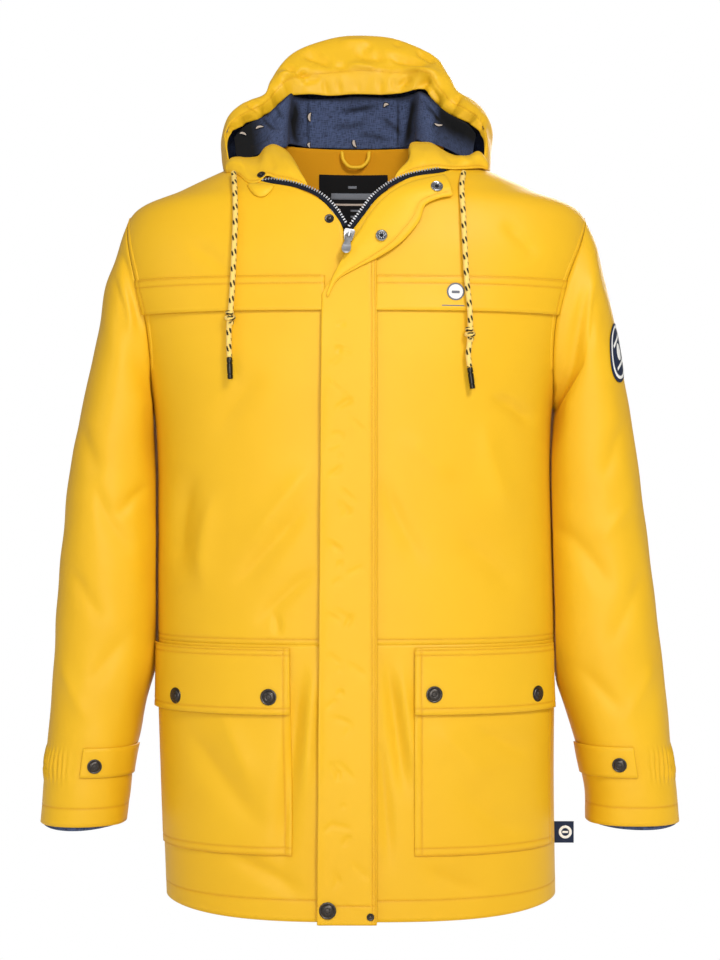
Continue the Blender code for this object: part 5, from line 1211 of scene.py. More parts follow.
def sleeve_grid(half):
    """Fine grid of one sleeve with its creases and cuff gathers, drawn in against the body."""
    sign = SIDES[half]
    points, rows, columns = refine(sleeve_rings(half), (0.0045, 0.002), closed=True)
    points, rows = insert_lines(points, rows, 0, SLEEVE_LINES)
    normals = normals_of(points, points - points.mean(axis=1, keepdims=True), closed=True)
    normals[0, :, 0] = 0
    normals = unit(normals)
    x, z, column = points[..., 0], points[..., 2], columns[None, :]
    front = np.clip(0.5 - 1.4 * normals[..., 1], 0, 1)
    rise = (creases(x, z, SLEEVE_CREASES[half, FRONT]) * front
            + creases(x, z, SLEEVE_CREASES[half, BACK]) * (1 - front))
    rise = rise + 0.0007 * wobble(x + points[..., 1], z, 0.08, 2.0)
    gather = np.interp(rows, (11.0, 11.6, 12.9, 13.4), (0, 1, 1, 0))[:, None]
    outer = np.exp(-(np.minimum(column, len(SLEEVE_ANGLES) - column) / 6.8) ** 12)
    ruffle = np.sin(2 * math.pi * column / 0.62 + 1.5 * wobble(column * 0.01, z, 0.03))
    rise = rise * np.clip(rows / 0.45, 0, 1)[:, None] + gather * outer * (0.001 + 0.0013 * ruffle)
    points = points + normals * rise[..., None]
    # The sleeve hangs against the body: its inner front is drawn in until it lies on the side.
    middle, wide, front, back = section(z)
    deep = np.where(points[..., 1] < 0, front, back)
    side_x = wide * (1 - np.clip(np.abs(points[..., 1]) / deep, 0, 0.999) ** ROUNDNESS) ** (1 / ROUNDNESS)
    clear = sign * points[..., 0] - (sign * middle + side_x)
    press = np.interp(-z, (0.245, 0.285, 0.56, 0.66), (0, 1, 1, 0)) * np.clip(-sign * normals[..., 0], 0, 1)
    press = press * np.where(points[..., 1] < 0.02, 1, 0.3) * HANG_IN[half]
    points[..., 0] -= sign * np.clip(np.minimum(press, clear - CLOTH - 0.0012), 0, None)
    return points, normals, rows, columns


def make_armhole_band(half):
    """Turned seam on the body beside the armhole."""
    grid, ways = [], []
    for angle in np.linspace(9, 128, 44):
        u, z = armhole_place(angle, FRONT)
        turn = turn_of(SIDES[half] * u)
        reach = np.linspace(0.0006, ARMHOLE_BAND, 5)
        step = body(turn * 0.999, z, FRONT)[0] - body(turn, z, FRONT)[0]
        point, way = body(turn * (1 - 0.001 * reach / np.linalg.norm(step)), z, FRONT)
        grid.append(point + way * (0.0007 - 0.0004 * np.linspace(-1, 1, 5) ** 4)[:, None])
        ways.append(way)
    grid, ways = np.array(grid), np.array(ways)
    STITCH_RUNS.append((grid[:, 3], ways[:, 3], 0.004))
    part_piece(shell("armhole_band_" + half, grid, ways, 0.0006, "coated cloth"))


def make_sleeves():
    """Sleeves with the seams beside them, the lining that shows below each cuff, and the cuff tabs."""
    for half in SIDES:
        points, normals, rows, columns = sleeve_grid(half)
        points, seam = sew(points, normals, SLEEVE_LINES, closed=True)
        cloth("cloth_sleeve_" + half, points, normals, CLOTH, "coated cloth", "sleeve_" + half, "hung",
              "cloth_front_upper_" + half, closed=True, seam=seam)
        SURFACES["sleeve_" + half] = (points, normals, rows, columns)
        make_armhole_band(half)
        ring, near, ways = points[-1], points[-4], normals[-1]
        turns = [math.radians(angle % 360) for angle in SLEEVE_ANGLES] + [2 * math.pi]
        angles = np.interp(columns, range(len(turns)), turns)
        dip = 0.0045 * np.clip(np.cos(angles - math.radians(80)), 0, 1) ** 2
        band = np.array([ring + (near - ring) * share - ways * (CLOTH + 0.0009) - np.outer(dip * drop, (0, 0, 1))
                         for share, drop in ((1.6, 0), (0.8, 0), (0.05, 0), (0, 0.5), (0, 1))])
        cloth("cloth_cuff_lining_" + half, band, np.array([ways] * 5), 0.001, "lining", "cuff_lining_" + half,
              "hung", "cloth_sleeve_" + half, closed=True)
        low, high, first, last = CUFF_TAB
        pick = np.ix_((rows >= low) & (rows <= high), (columns >= first) & (columns <= last))
        grid, ways = points[pick], normals[pick]
        cloth("cloth_cuff_tab_" + half, grid + ways * (LAYER_GAP + TRIM + 0.0006), ways, TRIM, "coated cloth",
              "cuff_tab_" + half, "laid", "cloth_sleeve_" + half)


def tape_lines(half):
    """Outer edge of the open tape in x and z, from the slider round the neck edge, and its way in."""
    edge = curve(NECK_EDGES[half], 10)
    run = np.gradient(edge, axis=0)
    return edge, unit(np.stack([-run[:, 1], run[:, 0]], axis=-1) * SIDES[half])


def make_tapes():
    """Open zip tapes along the neck edge, run on under the facings."""
    for half in SIDES:
        edge, inward = tape_lines(half)
        edge = np.concatenate([edge, edge[-1] + np.outer(np.linspace(0.1, 1, 8), TAPE_TAILS[half])])
        inward = np.concatenate([inward, np.repeat(inward[-1:], 8, axis=0)])
        spots = edge[:, None] + inward[:, None] * np.linspace(ZIP_TAPE_START, ZIP_TAPE_REACH, 5)[:, None]
        points, ways = on_body(spots[..., 0], spots[..., 1])
        points = points - ways * 0.0002
        SURFACES["tape_" + half] = (points, ways)
        cloth("zip_tape_open_" + half, points, ways, 0.0011, "zip tape", "zip_tape_" + half, "stretched",
              "cloth_front_upper_" + half)


def make_hood():
    """The lowered hood: crown, brim seam and gathers along the mouth."""
    mouth, rim, back = (HOOD_STATIONS[:, k:k + 3] for k in (0, 3, 6))
    nape = np.insert(HOOD_STATIONS[:, 9:], 2, HOOD_NAPE_Z, axis=1)
    roll = mouth + (rim - mouth) * 0.35 + (0, -2 * HOOD_RISE, HOOD_RISE)
    lines = {"first": BRIM_LINES}
    points, rows, columns = refine(np.stack([mouth, roll, rim, back, nape], axis=1), HOOD_PITCH)
    points, columns = insert_lines(points, columns, 1, lines)
    normals = normals_of(points, points - np.array([0, 0.06, -0.02]))
    at, row = arcs(points, 1)[None, :], rows[:, None]
    rise = creases(points[..., 0], points[..., 2], HOOD_CREASES) * np.clip(at / 0.006, 0, 1)
    rise = rise * np.clip((0.5 - normals[..., 1]) * 2, 0, 1)
    rise = rise + 0.0009 * wobble(row + 0 * at, at * 40, 1.9, 3.0)
    for place, wide, depth in HOOD_GATHERS:
        off = (row - place - at * 12 * math.copysign(1, place - 10)) / wide
        rise = rise + depth * MM * np.exp(-np.abs(off) ** 1.5) * np.exp(-(at / 0.016) ** 2)
    points = points + normals * rise[..., None]
    floor = shoulder_height(points[..., 0], points[..., 1]) + HOOD_SEAT
    points[..., 2] = np.maximum(points[..., 2], floor)
    # Its foot lies down on the shoulders along the nape seam and at both ends.
    ends = np.minimum(rows, rows[-1] - rows)[:, None]
    nape = np.interp(columns, (3, 4), (0, 1))[None, :] * np.interp(ends, (3, 5), (1, 0))
    points[..., 2] += (floor - points[..., 2]) * np.maximum(nape, np.clip(1 - ends / 1.2, 0, 1)) ** 2
    points[..., 1] -= 0.0045 * (np.clip(1 - ends, 0, 1) * np.clip(1 - columns, 0, 1)[None, :])
    points, seam = sew(points, normals, lines, margin=0.02)
    # The painted shade beside the brim's sewn line goes in at 0.6 strength.
    made = cloth("cloth_hood", points, normals, CLOTH, "coated cloth", "hood", "gathered", "cloth_back_upper",
                 seam=seam * 0.6)
    made.data.materials.append(finish_of("lining"))
    inside = (points.shape[0] - 1) * (points.shape[1] - 1)
    for face in made.data.polygons[inside:2 * inside]:
        face.material_index = 1


def make_hood_lining():
    """Lining inside the hood with its folds, seams and dashes, and painted shade in its side recesses, along its
    folds and under the hood's mouth.
    """
    shares = np.array((0, 0.2, 0.4, 0.6, 0.8, 1))[:, None]
    bow = (0, 1, 0) * (LINING_SHIFT + LINING_BOW * np.sin(math.pi * shares))
    grid = [row[:3] + (row[3:] - row[:3]) * shares + bow for row in LINING_STATIONS]
    points, rows, columns = refine(grid, HOOD_PITCH)
    normals = normals_of(points, points * (-1, 0, 0) - (0, 0.3, 0))
    x, z = points[..., 0], points[..., 2]
    inner = np.sin(np.pi * (columns / columns[-1]))[None, :] ** 0.5
    rise = creases(x, z, LINING_CREASES) + 0.0007 * wobble(x, z, 0.04, 2)
    points = points + normals * (rise * inner)[..., None]
    # Painted shade in the lining's outer recesses, by row; on the wearer's left it weakens towards the foot.
    shade = np.interp(rows, *LINING_SHADE)[:, None]
    shade = shade * np.where(rows[:, None] < 9, 1, np.interp(columns, (1.5, 4), (1, 0.4))[None, :])
    # Painted shadow under the hood's mouth edge, along the lining's top.
    edge = (0.0036 + 0.0014 * np.sin(2.3 * rows))[:, None]
    edge = np.exp(-(arcs(points, 1)[None, :] / edge) ** 2) * 0.9
    # All the painted shade together, with the painted shade along the folds, kept in the seam attribute for the
    # lining's finish.
    shade = np.maximum(np.maximum(shade, creases(x, z, LINING_SHADOWS) / MM), edge)
    cloth("cloth_hood_lining", points, normals, 0.001, "lining", "hood_lining", "gathered", "cloth_hood", seam=shade)
    for index, (x0, z0, lean, long) in enumerate(LINING_DASHES):
        spot = nearest(np.hypot(points[..., 0] - x0 * MM, points[..., 2] - z0 * MM))
        place, way = points[spot], normals[spot]
        up = np.array([math.sin(math.radians(lean)), 0, math.cos(math.radians(lean))])
        up = unit(up - way * (up @ way))
        side = np.cross(up, way)
        for name, stuff, wide, lift, more in (("halo", "dark print and hole shade", 0.0026, 0.0004, 0.0008),
                                              ("dash", "beige print", 0.0014, 0.0006, 0)):
            a, b = disc_grid(9)
            spots = (place + way * (lift + 0.0006) + side * (b * wide + 0.0016 * (a * a - 0.5))[..., None]
                     + up * (a * (long * MM / 2 + more))[..., None])
            print_piece("lining_%s_%d" % (name, index), spots, np.broadcast_to(way, spots.shape), stuff)


def nearest(distance):
    """Row and column of the smallest value."""
    return np.unravel_index(distance.argmin(), distance.shape)


def disc_grid(count):
    """Two square arrays that fill a round disc of radius 1."""
    a, b = np.meshgrid(np.linspace(-1, 1, count), np.linspace(-1, 1, count), indexing="ij")
    return a * np.sqrt(1 - b * b / 2), b * np.sqrt(1 - a * a / 2)


def tape_height(half, x):
    """Height of the open tape's inner edge, or None beside the tape."""
    edge, inward = tape_lines(half)
    inner = edge + inward * ZIP_TAPE_REACH
    xs, zs = inner[np.argsort(inner[:, 0])].T
    return np.interp(x, xs, zs) if xs[0] <= x <= xs[-1] else None


def make_collars():
    """Facings of the neck edge, and the corner of the right one that curls out below the zip's end."""
    lines = {"first": (0.003,), "last": (0.0045,)}
    for half in SIDES:
        grid = []
        for a, b in COLLAR_STATIONS[half].reshape(-1, 2, 3):
            edge = tape_height(half, a[0])
            if edge is not None:
                foot_z = edge + COLLAR_SEAT
                a = np.array((a[0], on_body(a[0], foot_z)[0][1] - SEAM_GAP, foot_z))
            bulge = COLLAR_BULGE * min(1, np.linalg.norm(b - a) / 0.03)
            line = []
            for s in (0, 0.25, 0.5, 0.75, 1):
                point = a + (b - a) * s + np.array((0, -1, 0.5)) * bulge * math.sin(math.pi * s)
                if edge is None and abs(across(point[0], point[2])) < 1:
                    point[1] = min(point[1], on_body(point[0], point[2])[0][1] - CLOTH - 0.0006)
                line.append(point)
            grid.append(line)
        points, _, columns = refine(grid, 0.003)
        points, columns = insert_lines(points, columns, 1, lines)
        normals = normals_of(points, np.array([0, -1.0, 0.4]))
        rise = creases(points[..., 0], points[..., 2], COLLAR_CREASES)
        points = points + normals * (rise * np.interp(columns, (0, 0.8, 4), (0, 1, 1))[None, :])[..., None]
        points, seam = sew(points, normals, lines, margin=0.006, depth=0.0003)
        cloth("cloth_collar_" + half, points, normals, CLOTH, "coated facing", "collar_" + half, "folded",
              "cloth_front_upper_" + half, seam=seam)
        SURFACES["collar_" + half] = (points, normals)
    left, wide, top, drop = COLLAR_CURL
    s, t = np.linspace(0, 1, 19)[:, None], np.linspace(0, 1, 8)[None, :]
    low = drop * np.sin(np.pi * np.clip(s, 0.02, 0.98)) ** 0.6
    points, ways = on_body(left + wide * s + 0 * t, top - 0.003 * s * s - low * t)
    points = points + ways * (0.0012 + 0.0034 * np.sin(np.pi * (0.12 + 0.8 * t)) * (low / drop))[..., None]
    part_piece(shell("collar_curl", points, ways, 0.0012, "coated facing"))


NECK_COLUMNS = (0.04, 0.12, 0.2, 0.27, 1 / 3, 0.4, 0.47, 0.54, 0.61, 0.68, 0.76, 0.86, 0.96)
NECK_LEVELS = ((0.0105, 0.000), (-0.01, 0.000), (-0.0187, 0.0005), (-0.054, 0.002), (-0.0887, 0.004),
               (-0.12, 0.004))  # z, and how much flatter the neck's arc is there
NECK_REACH = (0.094, 0.064)  # half width and depth of the neck's arc
LABEL_PLACE = (1.99, 4.01, 3.99, 8.01)  # rows and columns of the facing that the label covers


def make_neck():
    """Facing inside the back of the neck, its label and the hanger loop."""
    grid = [[(-NECK_REACH[0] * math.cos(math.pi * share),
              0.008 + (NECK_REACH[1] - inset) * math.sin(math.pi * share) ** 0.8, z) for share in NECK_COLUMNS]
            for z, inset in NECK_LEVELS]
    points, rows, columns = refine(grid, 0.004)
    normals = normals_of(points, points * (-1, 0, 0) - (0, 0.05, 0))
    # Its finish is the facing colour painted darker for the shade inside the back of the neck.
    cloth("cloth_neck_facing", points, normals, CLOTH, "neck facing", "neck_facing", "hung", "cloth_back_upper",
          slot="coated_facing")
    SURFACES["neck"] = (points, normals, rows, columns)
    low, high, first, last = LABEL_PLACE
    pick = np.ix_((rows >= low) & (rows <= high), (columns >= first) & (columns <= last))
    grid, ways = points[pick], normals[pick]
    cloth("woven_neck_label", grid + ways * (LAYER_GAP + 0.0008), ways, 0.0008, "black label", "neck_label", "laid",
          "cloth_neck_facing")
    part_piece(tube("hanger_loop_tube", curve(HANGER_LOOP, 8), 0.0021, "coated facing"),
               "hanger_loop")


def make_cords():
    """The two drawcords, each with its overhand knot and crimped end."""
    radius = bpy.context.scene.raincoat_sizes.cord_diameter / 2
    for half in SIDES:
        x, z, stand = np.concatenate([CORD_ROUTES[half], CORD_TAILS[half]]).T
        spots, ways = on_body(x, z)
        route = spots + ways * stand[:, None]
        path = curve(route, 8)
        cord = tube("cord_run_" + half, curve(route, 40), radius, "cord", sides=24, flecks=True)
        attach(cord, "coat")
        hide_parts("drawcord_" + half, "cord_tail_" + half)
        top, low = route[len(CORD_ROUTES[half]) - 1], route[len(CORD_ROUTES[half])]
        middle, run = (top + low) / 2, unit(low - top)
        side = unit(np.array([1.0, 0, 0]) - run * run[0])
        out = np.cross(run, side)
        turn = np.linspace(0, KNOT_TURNS * 2 * math.pi, 90)[:, None]
        coil = middle + run * ((turn / turn[-1] - 0.5) * KNOT_LENGTH + 0.0012 * np.sin(turn + 1))
        coil = coil + (side * np.cos(turn) + out * np.sin(turn)) * KNOT_RADIUS * np.sin(
            np.pi * np.linspace(0.12, 0.88, 90)[:, None])
        knot = tube("cord_tie_" + half, coil, radius * 0.86, "cord", flecks=True)
        part_piece(knot, "cord_knot_" + half)
        down = unit(path[-1] - path[-2])
        tip = turned_piece("cord_cap_" + half, 0.0026, TIP_PROFILE, path[-1] + down * 0.0006, down, "cord tip",
                           "cord_tip_" + half, sides=20)


# ---- hard pieces
def new_primitive(kind, **how):
    """A primitive added with nothing else selected."""
    bpy.ops.object.select_all(action="DESELECT")
    getattr(bpy.ops.mesh, "primitive_%s_add" % kind)(**how)
    return bpy.context.active_object


def edit_all():
    bpy.ops.object.mode_set(mode="EDIT")
    bpy.ops.mesh.select_all(action="SELECT")


def close_up():
    """Turn the faces of a closed mesh outward and leave edit mode."""
    bpy.ops.mesh.select_all(action="SELECT")
    bpy.ops.mesh.normals_make_consistent(inside=False)
    bpy.ops.object.mode_set(mode="OBJECT")


def draw_out(step, wide=None):
    """Extrude the selected faces by a step and scale their width, or both their width and depth."""
    bpy.ops.mesh.extrude_region_move(TRANSFORM_OT_translate={"value": step})
    if wide:
        bpy.ops.transform.resize(value=(*wide, 1), center_override=(0, 0, 0))


def turned_piece(name, start, profile, place, way, stuff, node=None, sides=32, dark=0.0):
    """Round hard piece: a disc drawn out step by step, each step a rise and a new radius."""
    made = new_primitive("circle", vertices=sides, radius=start, fill_type="NGON")
    edit_all()
    radius = start
    for rise, wide in profile:
        draw_out((0, 0, rise), (wide / radius, wide / radius))
        radius = wide
    close_up()
    made.data.materials.append(finish_of(stuff))
    # Top faces within `dark` of the middle take the dark finish: painted shade in a socket's hole.
    if dark:
        made.data.materials.append(finish_of("dark print and hole shade"))
        for face in made.data.polygons:
            reach = max(made.data.vertices[i].co.xy.length for i in face.vertices)
            if reach <= dark and face.center.z > 0:
                face.material_index = 1
    bpy.ops.object.shade_smooth_by_angle(angle=math.radians(38))
    made.rotation_euler = Vector(way).to_track_quat("Z", "Y").to_euler()
    made.location = Vector(place)
    bpy.ops.object.transform_apply(location=True, rotation=True, scale=True)
    made.name = made.data.name = name
    return part_piece(made, node)


def sized(profile, height, radius):
    return [(rise * height, wide * radius) for rise, wide in profile]


def middle_of(node):
    return np.mean(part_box(node), axis=0)


def make_snaps():
    """Domed caps, studs and sockets, each seated where its solid is."""
    seats = [(name, on_body(x, z)[1], radius, height, CAP_PROFILE if radius > 0.007 else STUD_PROFILE, 0.0)
             for name, x, z, radius, height in SNAP_CAPS]
    # Sockets have their middle, 0.56 of the radius, painted dark for the shade in the hole.
    seats += [(name, on_body(x, z)[1], radius, height, SOCKET_PROFILE, 0.56)
              for name, x, z, radius, height in SNAP_SOCKETS]
    for half in SIDES:
        points, normals, _, _ = SURFACES["sleeve_" + half]
        name = "snap_cuff_" + half
        spot = nearest(np.linalg.norm(points - middle_of(name), axis=-1))
        seats.append((name, normals[spot], *CUFF_SNAP, CAP_PROFILE, 0.0))
    for name, way, radius, height, profile, dark in seats:
        raised = 0.0014 if "flap" in name or "cuff" in name else 0.0012 if "socket" in name else 0
        foot = middle_of(name) - way * (height / 2 - raised)
        turned_piece(name.replace("snap", "cap"), radius * 0.94, sized(profile, height, radius), foot, way,
                     "silver ring" if dark else "snap metal", name, dark=dark * radius)
    points, normals = SURFACES["collar_r"]
    x, z, radius, height = COLLAR_STUD
    spot = nearest(np.hypot(points[..., 0] - x, points[..., 2] - z))
    turned_piece("cap_stud_collar", 0.0044, sized(STUD_PROFILE, height, radius),
                 points[spot] + normals[spot] * 0.0002, normals[spot], "snap metal")


def make_teeth():
    """One cast tooth, copied down the inner edge of both open tapes."""
    tooth = new_primitive("cube", size=1)
    tooth.scale = TOOTH_SIZE
    bpy.ops.object.transform_apply(location=False, rotation=False, scale=True)
    edit_all()
    bpy.ops.mesh.bevel(offset=0.0003, segments=1, affect="EDGES")
    bpy.ops.object.mode_set(mode="OBJECT")
    tooth.data.materials.append(finish_of("zip teeth"))
    for half in SIDES:
        points, ways = SURFACES["tape_" + half]
        path, normals, inward = points[:, -1], ways[:, -1], points[:, -1] - points[:, -2]
        low, share = along_path(path, bpy.context.scene.raincoat_sizes.tooth_pitch, 0.0015)
        copies = []
        for at, s in zip(low, share[:, 0]):
            out, run, up = (Vector(v).normalized() for v in (inward[at], path[at + 1] - path[at], normals[at]))
            spot = Vector(path[at] * (1 - s) + path[at + 1] * s) - up * 0.0003
            copy = tooth.copy()
            copy.data = tooth.data.copy()
            bpy.context.scene.collection.objects.link(copy)
            copy.data.transform(Matrix.Translation(spot) @ Matrix((out, run, up)).transposed().to_4x4())
            copies.append(copy)
        bpy.ops.object.select_all(action="DESELECT")
        for copy in copies:
            copy.select_set(True)
        bpy.context.view_layer.objects.active = copies[0]
        bpy.ops.object.join()
        joined = bpy.context.active_object
        joined.name = "zip_teeth_" + half
        edit_all()
        close_up()
        part_piece(joined)
    bpy.data.objects.remove(tooth)


def pick_faces(made, test):
    """Go into edit mode with only the faces that pass the test selected."""
    bpy.ops.object.mode_set(mode="EDIT")
    bpy.ops.mesh.select_mode(type="FACE")
    bpy.ops.mesh.select_all(action="DESELECT")
    bpy.ops.object.mode_set(mode="OBJECT")
    for face in made.data.polygons:
        face.select = test(face.center / MM, face.normal)
    bpy.ops.object.mode_set(mode="EDIT")


def plate(name, rows, low, high, turn, recess=None, eye=None, posts=None, node=None, body_name="coat"):
    """Cast plate: a bar drawn down row by row, with a recess, an eye or posts, and rounded edges."""
    (top, top_half), (next_z, next_half) = rows[:2]
    made = new_primitive("cube", size=1, location=(0, (low + high) / 2 * MM, (top + next_z) / 2 * MM))
    made.scale = (2 * next_half * MM, (high - low) * MM, (top - next_z) * MM)
    bpy.ops.object.transform_apply(location=True, rotation=False, scale=True)
    pick_faces(made, lambda centre, normal: normal.z > 0.9)
    bpy.ops.transform.resize(value=(top_half / next_half, 1, 1), center_override=(0, 0, 0))
    pick_faces(made, lambda centre, normal: normal.z < -0.9)
    for (z0, wide0), (z1, wide1) in zip(rows[1:], rows[2:]):
        draw_out((0, 0, (z1 - z0) * MM), (wide1 / wide0, 1))
    bpy.ops.object.mode_set(mode="OBJECT")
    if recess:
        pick_faces(made, lambda centre, normal: normal.y < -0.9 and recess[1] < centre.z < recess[0])
        bpy.ops.mesh.inset(thickness=recess[2] * MM, depth=-recess[3] * MM)
        bpy.ops.object.mode_set(mode="OBJECT")
    if eye:
        pick_faces(made, lambda centre, normal: abs(normal.y) > 0.9 and eye[1] < centre.z < eye[0])
        bpy.ops.mesh.inset(thickness=eye[2] * MM, use_individual=True)
        bpy.ops.mesh.bridge_edge_loops()
        bpy.ops.object.mode_set(mode="OBJECT")
    if posts:
        pick_faces(made, lambda centre, normal: normal.y > 0.9 and abs(centre.z) > posts[0])
        draw_out((0, posts[1] * MM, 0))
    bpy.ops.object.mode_set(mode="EDIT")
    bpy.ops.mesh.select_mode(type="EDGE")
    bpy.ops.mesh.select_all(action="DESELECT")
    bpy.ops.mesh.edges_select_sharp(sharpness=math.radians(40))
    bpy.ops.mesh.bevel(offset=0.0003, segments=2, affect="EDGES")
    close_up()
    made.data.materials.append(finish_of("nickel"))
    bpy.ops.object.shade_smooth_by_angle(angle=math.radians(35))
    made.name = made.data.name = name
    made.data.transform(turn)
    part_piece(made, node, body_name)


def make_slider():
    """The zip's slider with its bridge, and the pull tab that hangs on it by its eye."""
    hinge = Matrix.Translation(frame["joints"][0]["pos_m"])
    hinge = hinge @ Matrix.Rotation(SLIDER_TILT, 4, "Y") @ Matrix.Rotation(-SLIDER_LEAN, 4, "X")
    face, deep = HINGE_STAND / MM, SLIDER_DEPTH / MM
    plate("cast_slider", SLIDER_ROWS, face, face + deep, hinge, recess=(6.0, -6.0, 1.0, 0.5), node="zip_slider")
    reach, bar, half = BRIDGE_REACH / MM, BRIDGE_BAR / MM, BRIDGE_WIDTH / MM / 2
    plate("cast_bridge", [(z, half) for z in (reach, reach - bar, bar - reach, -reach)], -face - bar, -face, hinge,
          posts=(reach - bar, 2 * face + 0.8))
    half = TAB_THICKNESS / MM / 2
    plate("cast_pull_tab", TAB_ROWS, -half, half, hinge @ Matrix.Rotation(-TAB_LEAN, 4, "X"),
          recess=(-15.0, -24.5, 1.0, 0.3), eye=(0.4, -6.0, 1.3), node="pull_tab", body_name="pull_tab")
    frame["nodes"]["side_label"].material_slots[0].material = finish_of("navy label")


# ---- labels and prints
def print_piece(name, points, ways, stuff, closed=False, thickness=0.0003):
    """Thin layer of ink or weave on a surface, from its points and normals."""
    return part_piece(shell(name, points, ways, thickness, stuff, closed))


def sample(surface, rows_at, columns_at):
    """Points and normals of a sheet at places given in its coarse rows and columns."""
    points, normals, rows, columns = SURFACES[surface]
    r = np.clip(np.searchsorted(rows, rows_at, side="right") - 1, 0, len(rows) - 2)
    c = np.clip(np.searchsorted(columns, columns_at, side="right") - 1, 0, len(columns) - 2)
    s = ((rows_at - rows[r]) / (rows[r + 1] - rows[r]))[..., None]
    t = ((columns_at - columns[c]) / (columns[c + 1] - columns[c]))[..., None]
    return [g[r, c] * (1 - s) * (1 - t) + g[r + 1, c] * s * (1 - t) + g[r, c + 1] * (1 - s) * t
            + g[r + 1, c + 1] * s * t for g in (points, normals)]


def ring_shape(inner, outer=1.0, count=48):
    """Up and across of a flat ring between two radii."""
    turn = np.linspace(0, 2 * math.pi, count, endpoint=False)[None, :]
    reach = np.array([[inner], [(inner + outer) / 2], [outer]])
    return reach * np.sin(turn), reach * np.cos(turn)


def bar_shape(low, high, left, right, count=9):
    """Up and across of an upright rectangle."""
    return np.meshgrid(np.linspace(high, low, 4), np.linspace(left, right, count), indexing="ij")


def make_prints():
    """Plain generic marks: a disc on the chest, a ring on the side label, bars on the labels."""
    x, z, reach, stand = CHEST_DISC
    for name, (up, side), stuff, lift in (
            ("disc", disc_grid(17), "pale print", 0.0004), ("ring", ring_shape(0.84), "grey print", 0.0006),
            ("bar", bar_shape(-0.2, 0.1, -0.45, 0.45), "grey print", 0.0006),
            ("line", bar_shape(-1.75, -1.55, -1.6, 1.0), "grey print", 0.0004)):
        point, way = on_body(x + side * reach, z + up * reach)
        print_piece("chest_" + name, point + way * (lift + stand), way, stuff, name == "ring")
    x0, x1, z0, z1 = SIDE_LABEL
    x, z, reach = (x0 + x1) / 2 + 0.0015, (z0 + z1) / 2, 0.0072
    for side_name, way in (("front", FRONT), ("back", BACK)):
        for name, (up, side) in (("disc", ring_shape(0.62)), ("bar", bar_shape(-0.14, 0.14, -0.45, 0.45))):
            points = np.stack([x + side * reach, np.full(up.shape, way * 0.0008), z + up * reach], -1)
            print_piece("side_%s_%s" % (name, side_name), points, np.broadcast_to((0, way, 0), points.shape),
                        "pale print", name == "disc")
    row, column, tall, wide = SLEEVE_PATCH
    for name, (up, side), lift in (
            ("badge", disc_grid(21), 0.0016), ("ring", ring_shape(0.8, 0.9), 0.002),
            ("bar_top", bar_shape(0.36, 0.46, -0.5, 0.5), 0.002),
            ("bar_low", bar_shape(-0.46, -0.36, -0.5, 0.5), 0.002), ("disc", disc_grid(11), 0.002)):
        scale = 0.28 if name == "disc" else 1
        point, way = sample("sleeve_l", row - up * tall * scale, column - side * wide * scale)
        badge = name == "badge"
        made = print_piece("sleeve_" + name, point + way * lift, way, "navy label" if badge else "pale print",
                           name == "ring", 0.0011 if badge else 0.0003)
        if badge:
            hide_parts("sleeve_patch")
    for index, (low, high, left, right, stuff) in enumerate(NECK_BARS):
        up, side = bar_shape(low, high, left, right)
        point, way = sample("neck", 4 - 2 * up, 6 + 2 * side)
        print_piece("neck_bar_%d" % index, point + way * (LAYER_GAP + 0.0012), way, stuff)


# ---- stage
def seen_white(tree, soft, white):
    """One shader for the camera's own rays, and a softer one for the light that is thrown."""
    seen = add_node(tree, "ShaderNodeLightPath", out="Is Camera Ray")
    return add_node(tree, "ShaderNodeMixShader", {0: seen, 1: soft, 2: white}, 0)


def make_stage():
    """Camera, pale floor, white surround and soft lamps."""
    scene = bpy.context.scene
    camera = bpy.data.objects.new("camera", bpy.data.cameras.new("camera"))
    scene.collection.objects.link(camera)
    camera.location = CAMERA_PLACE
    camera.rotation_euler = (math.radians(90), 0, 0)
    camera.data.lens = CAMERA_LENS
    camera.data.sensor_width = 36
    scene.camera = camera
    scene.world = bpy.data.worlds.new("pale studio")
    scene.world.use_nodes = True
    tree = scene.world.node_tree
    tree.nodes.clear()
    white = {"Color": (1, 1, 1, 1), "Strength": 1.0}
    soft = add_node(tree, "ShaderNodeBackground", {**white, "Strength": WORLD_LIGHT}, 0)
    both = seen_white(tree, soft, add_node(tree, "ShaderNodeBackground", white, 0))
    add_node(tree, "ShaderNodeOutputWorld", {"Surface": both})
    floor = new_primitive("plane", size=14, location=(0, 0, CAD_BOX[0].z - FLOOR_GAP))
    floor.name = "pale_floor"
    made, tree, shader = new_finish("Matt white floor", Base_Color=(0.86, 0.86, 0.86, 1), Roughness=0.9)
    both = seen_white(tree, shader.outputs[0], add_node(tree, "ShaderNodeEmission", white, 0))
    feed(tree, tree.nodes["Material Output"], Surface=both)
    floor.data.materials.append(made)
    for name, place, aim, size, power in LAMPS:
        light = bpy.data.lights.new(name, "AREA")
        light.shape, light.size, light.energy, light.color = "DISK", size, power, LAMP_COLOR
        lamp = bpy.data.objects.new(name, light)
        scene.collection.objects.link(lamp)
        lamp.location = place
        lamp.rotation_euler = (Vector(aim) - Vector(place)).to_track_quat("-Z", "Y").to_euler()
    scene.view_settings.view_transform = "Standard"


# ---- operators, panel and run
def run(*makers):
    for make in makers:
        make()
    return {"FINISHED"}


class RAINCOAT_OT_stage(bpy.types.Operator):
    """Camera, pale floor, surround and lamps"""
    bl_idname = "raincoat.stage"
    bl_label = "Stage"

    def execute(self, context):
        return run(make_stage)


class RAINCOAT_OT_cords(bpy.types.Operator):
    """Drawcords with their knots and crimped ends"""
    bl_idname = "raincoat.cords"
    bl_label = "Drawcords"

    def execute(self, context):
        return run(make_cords)


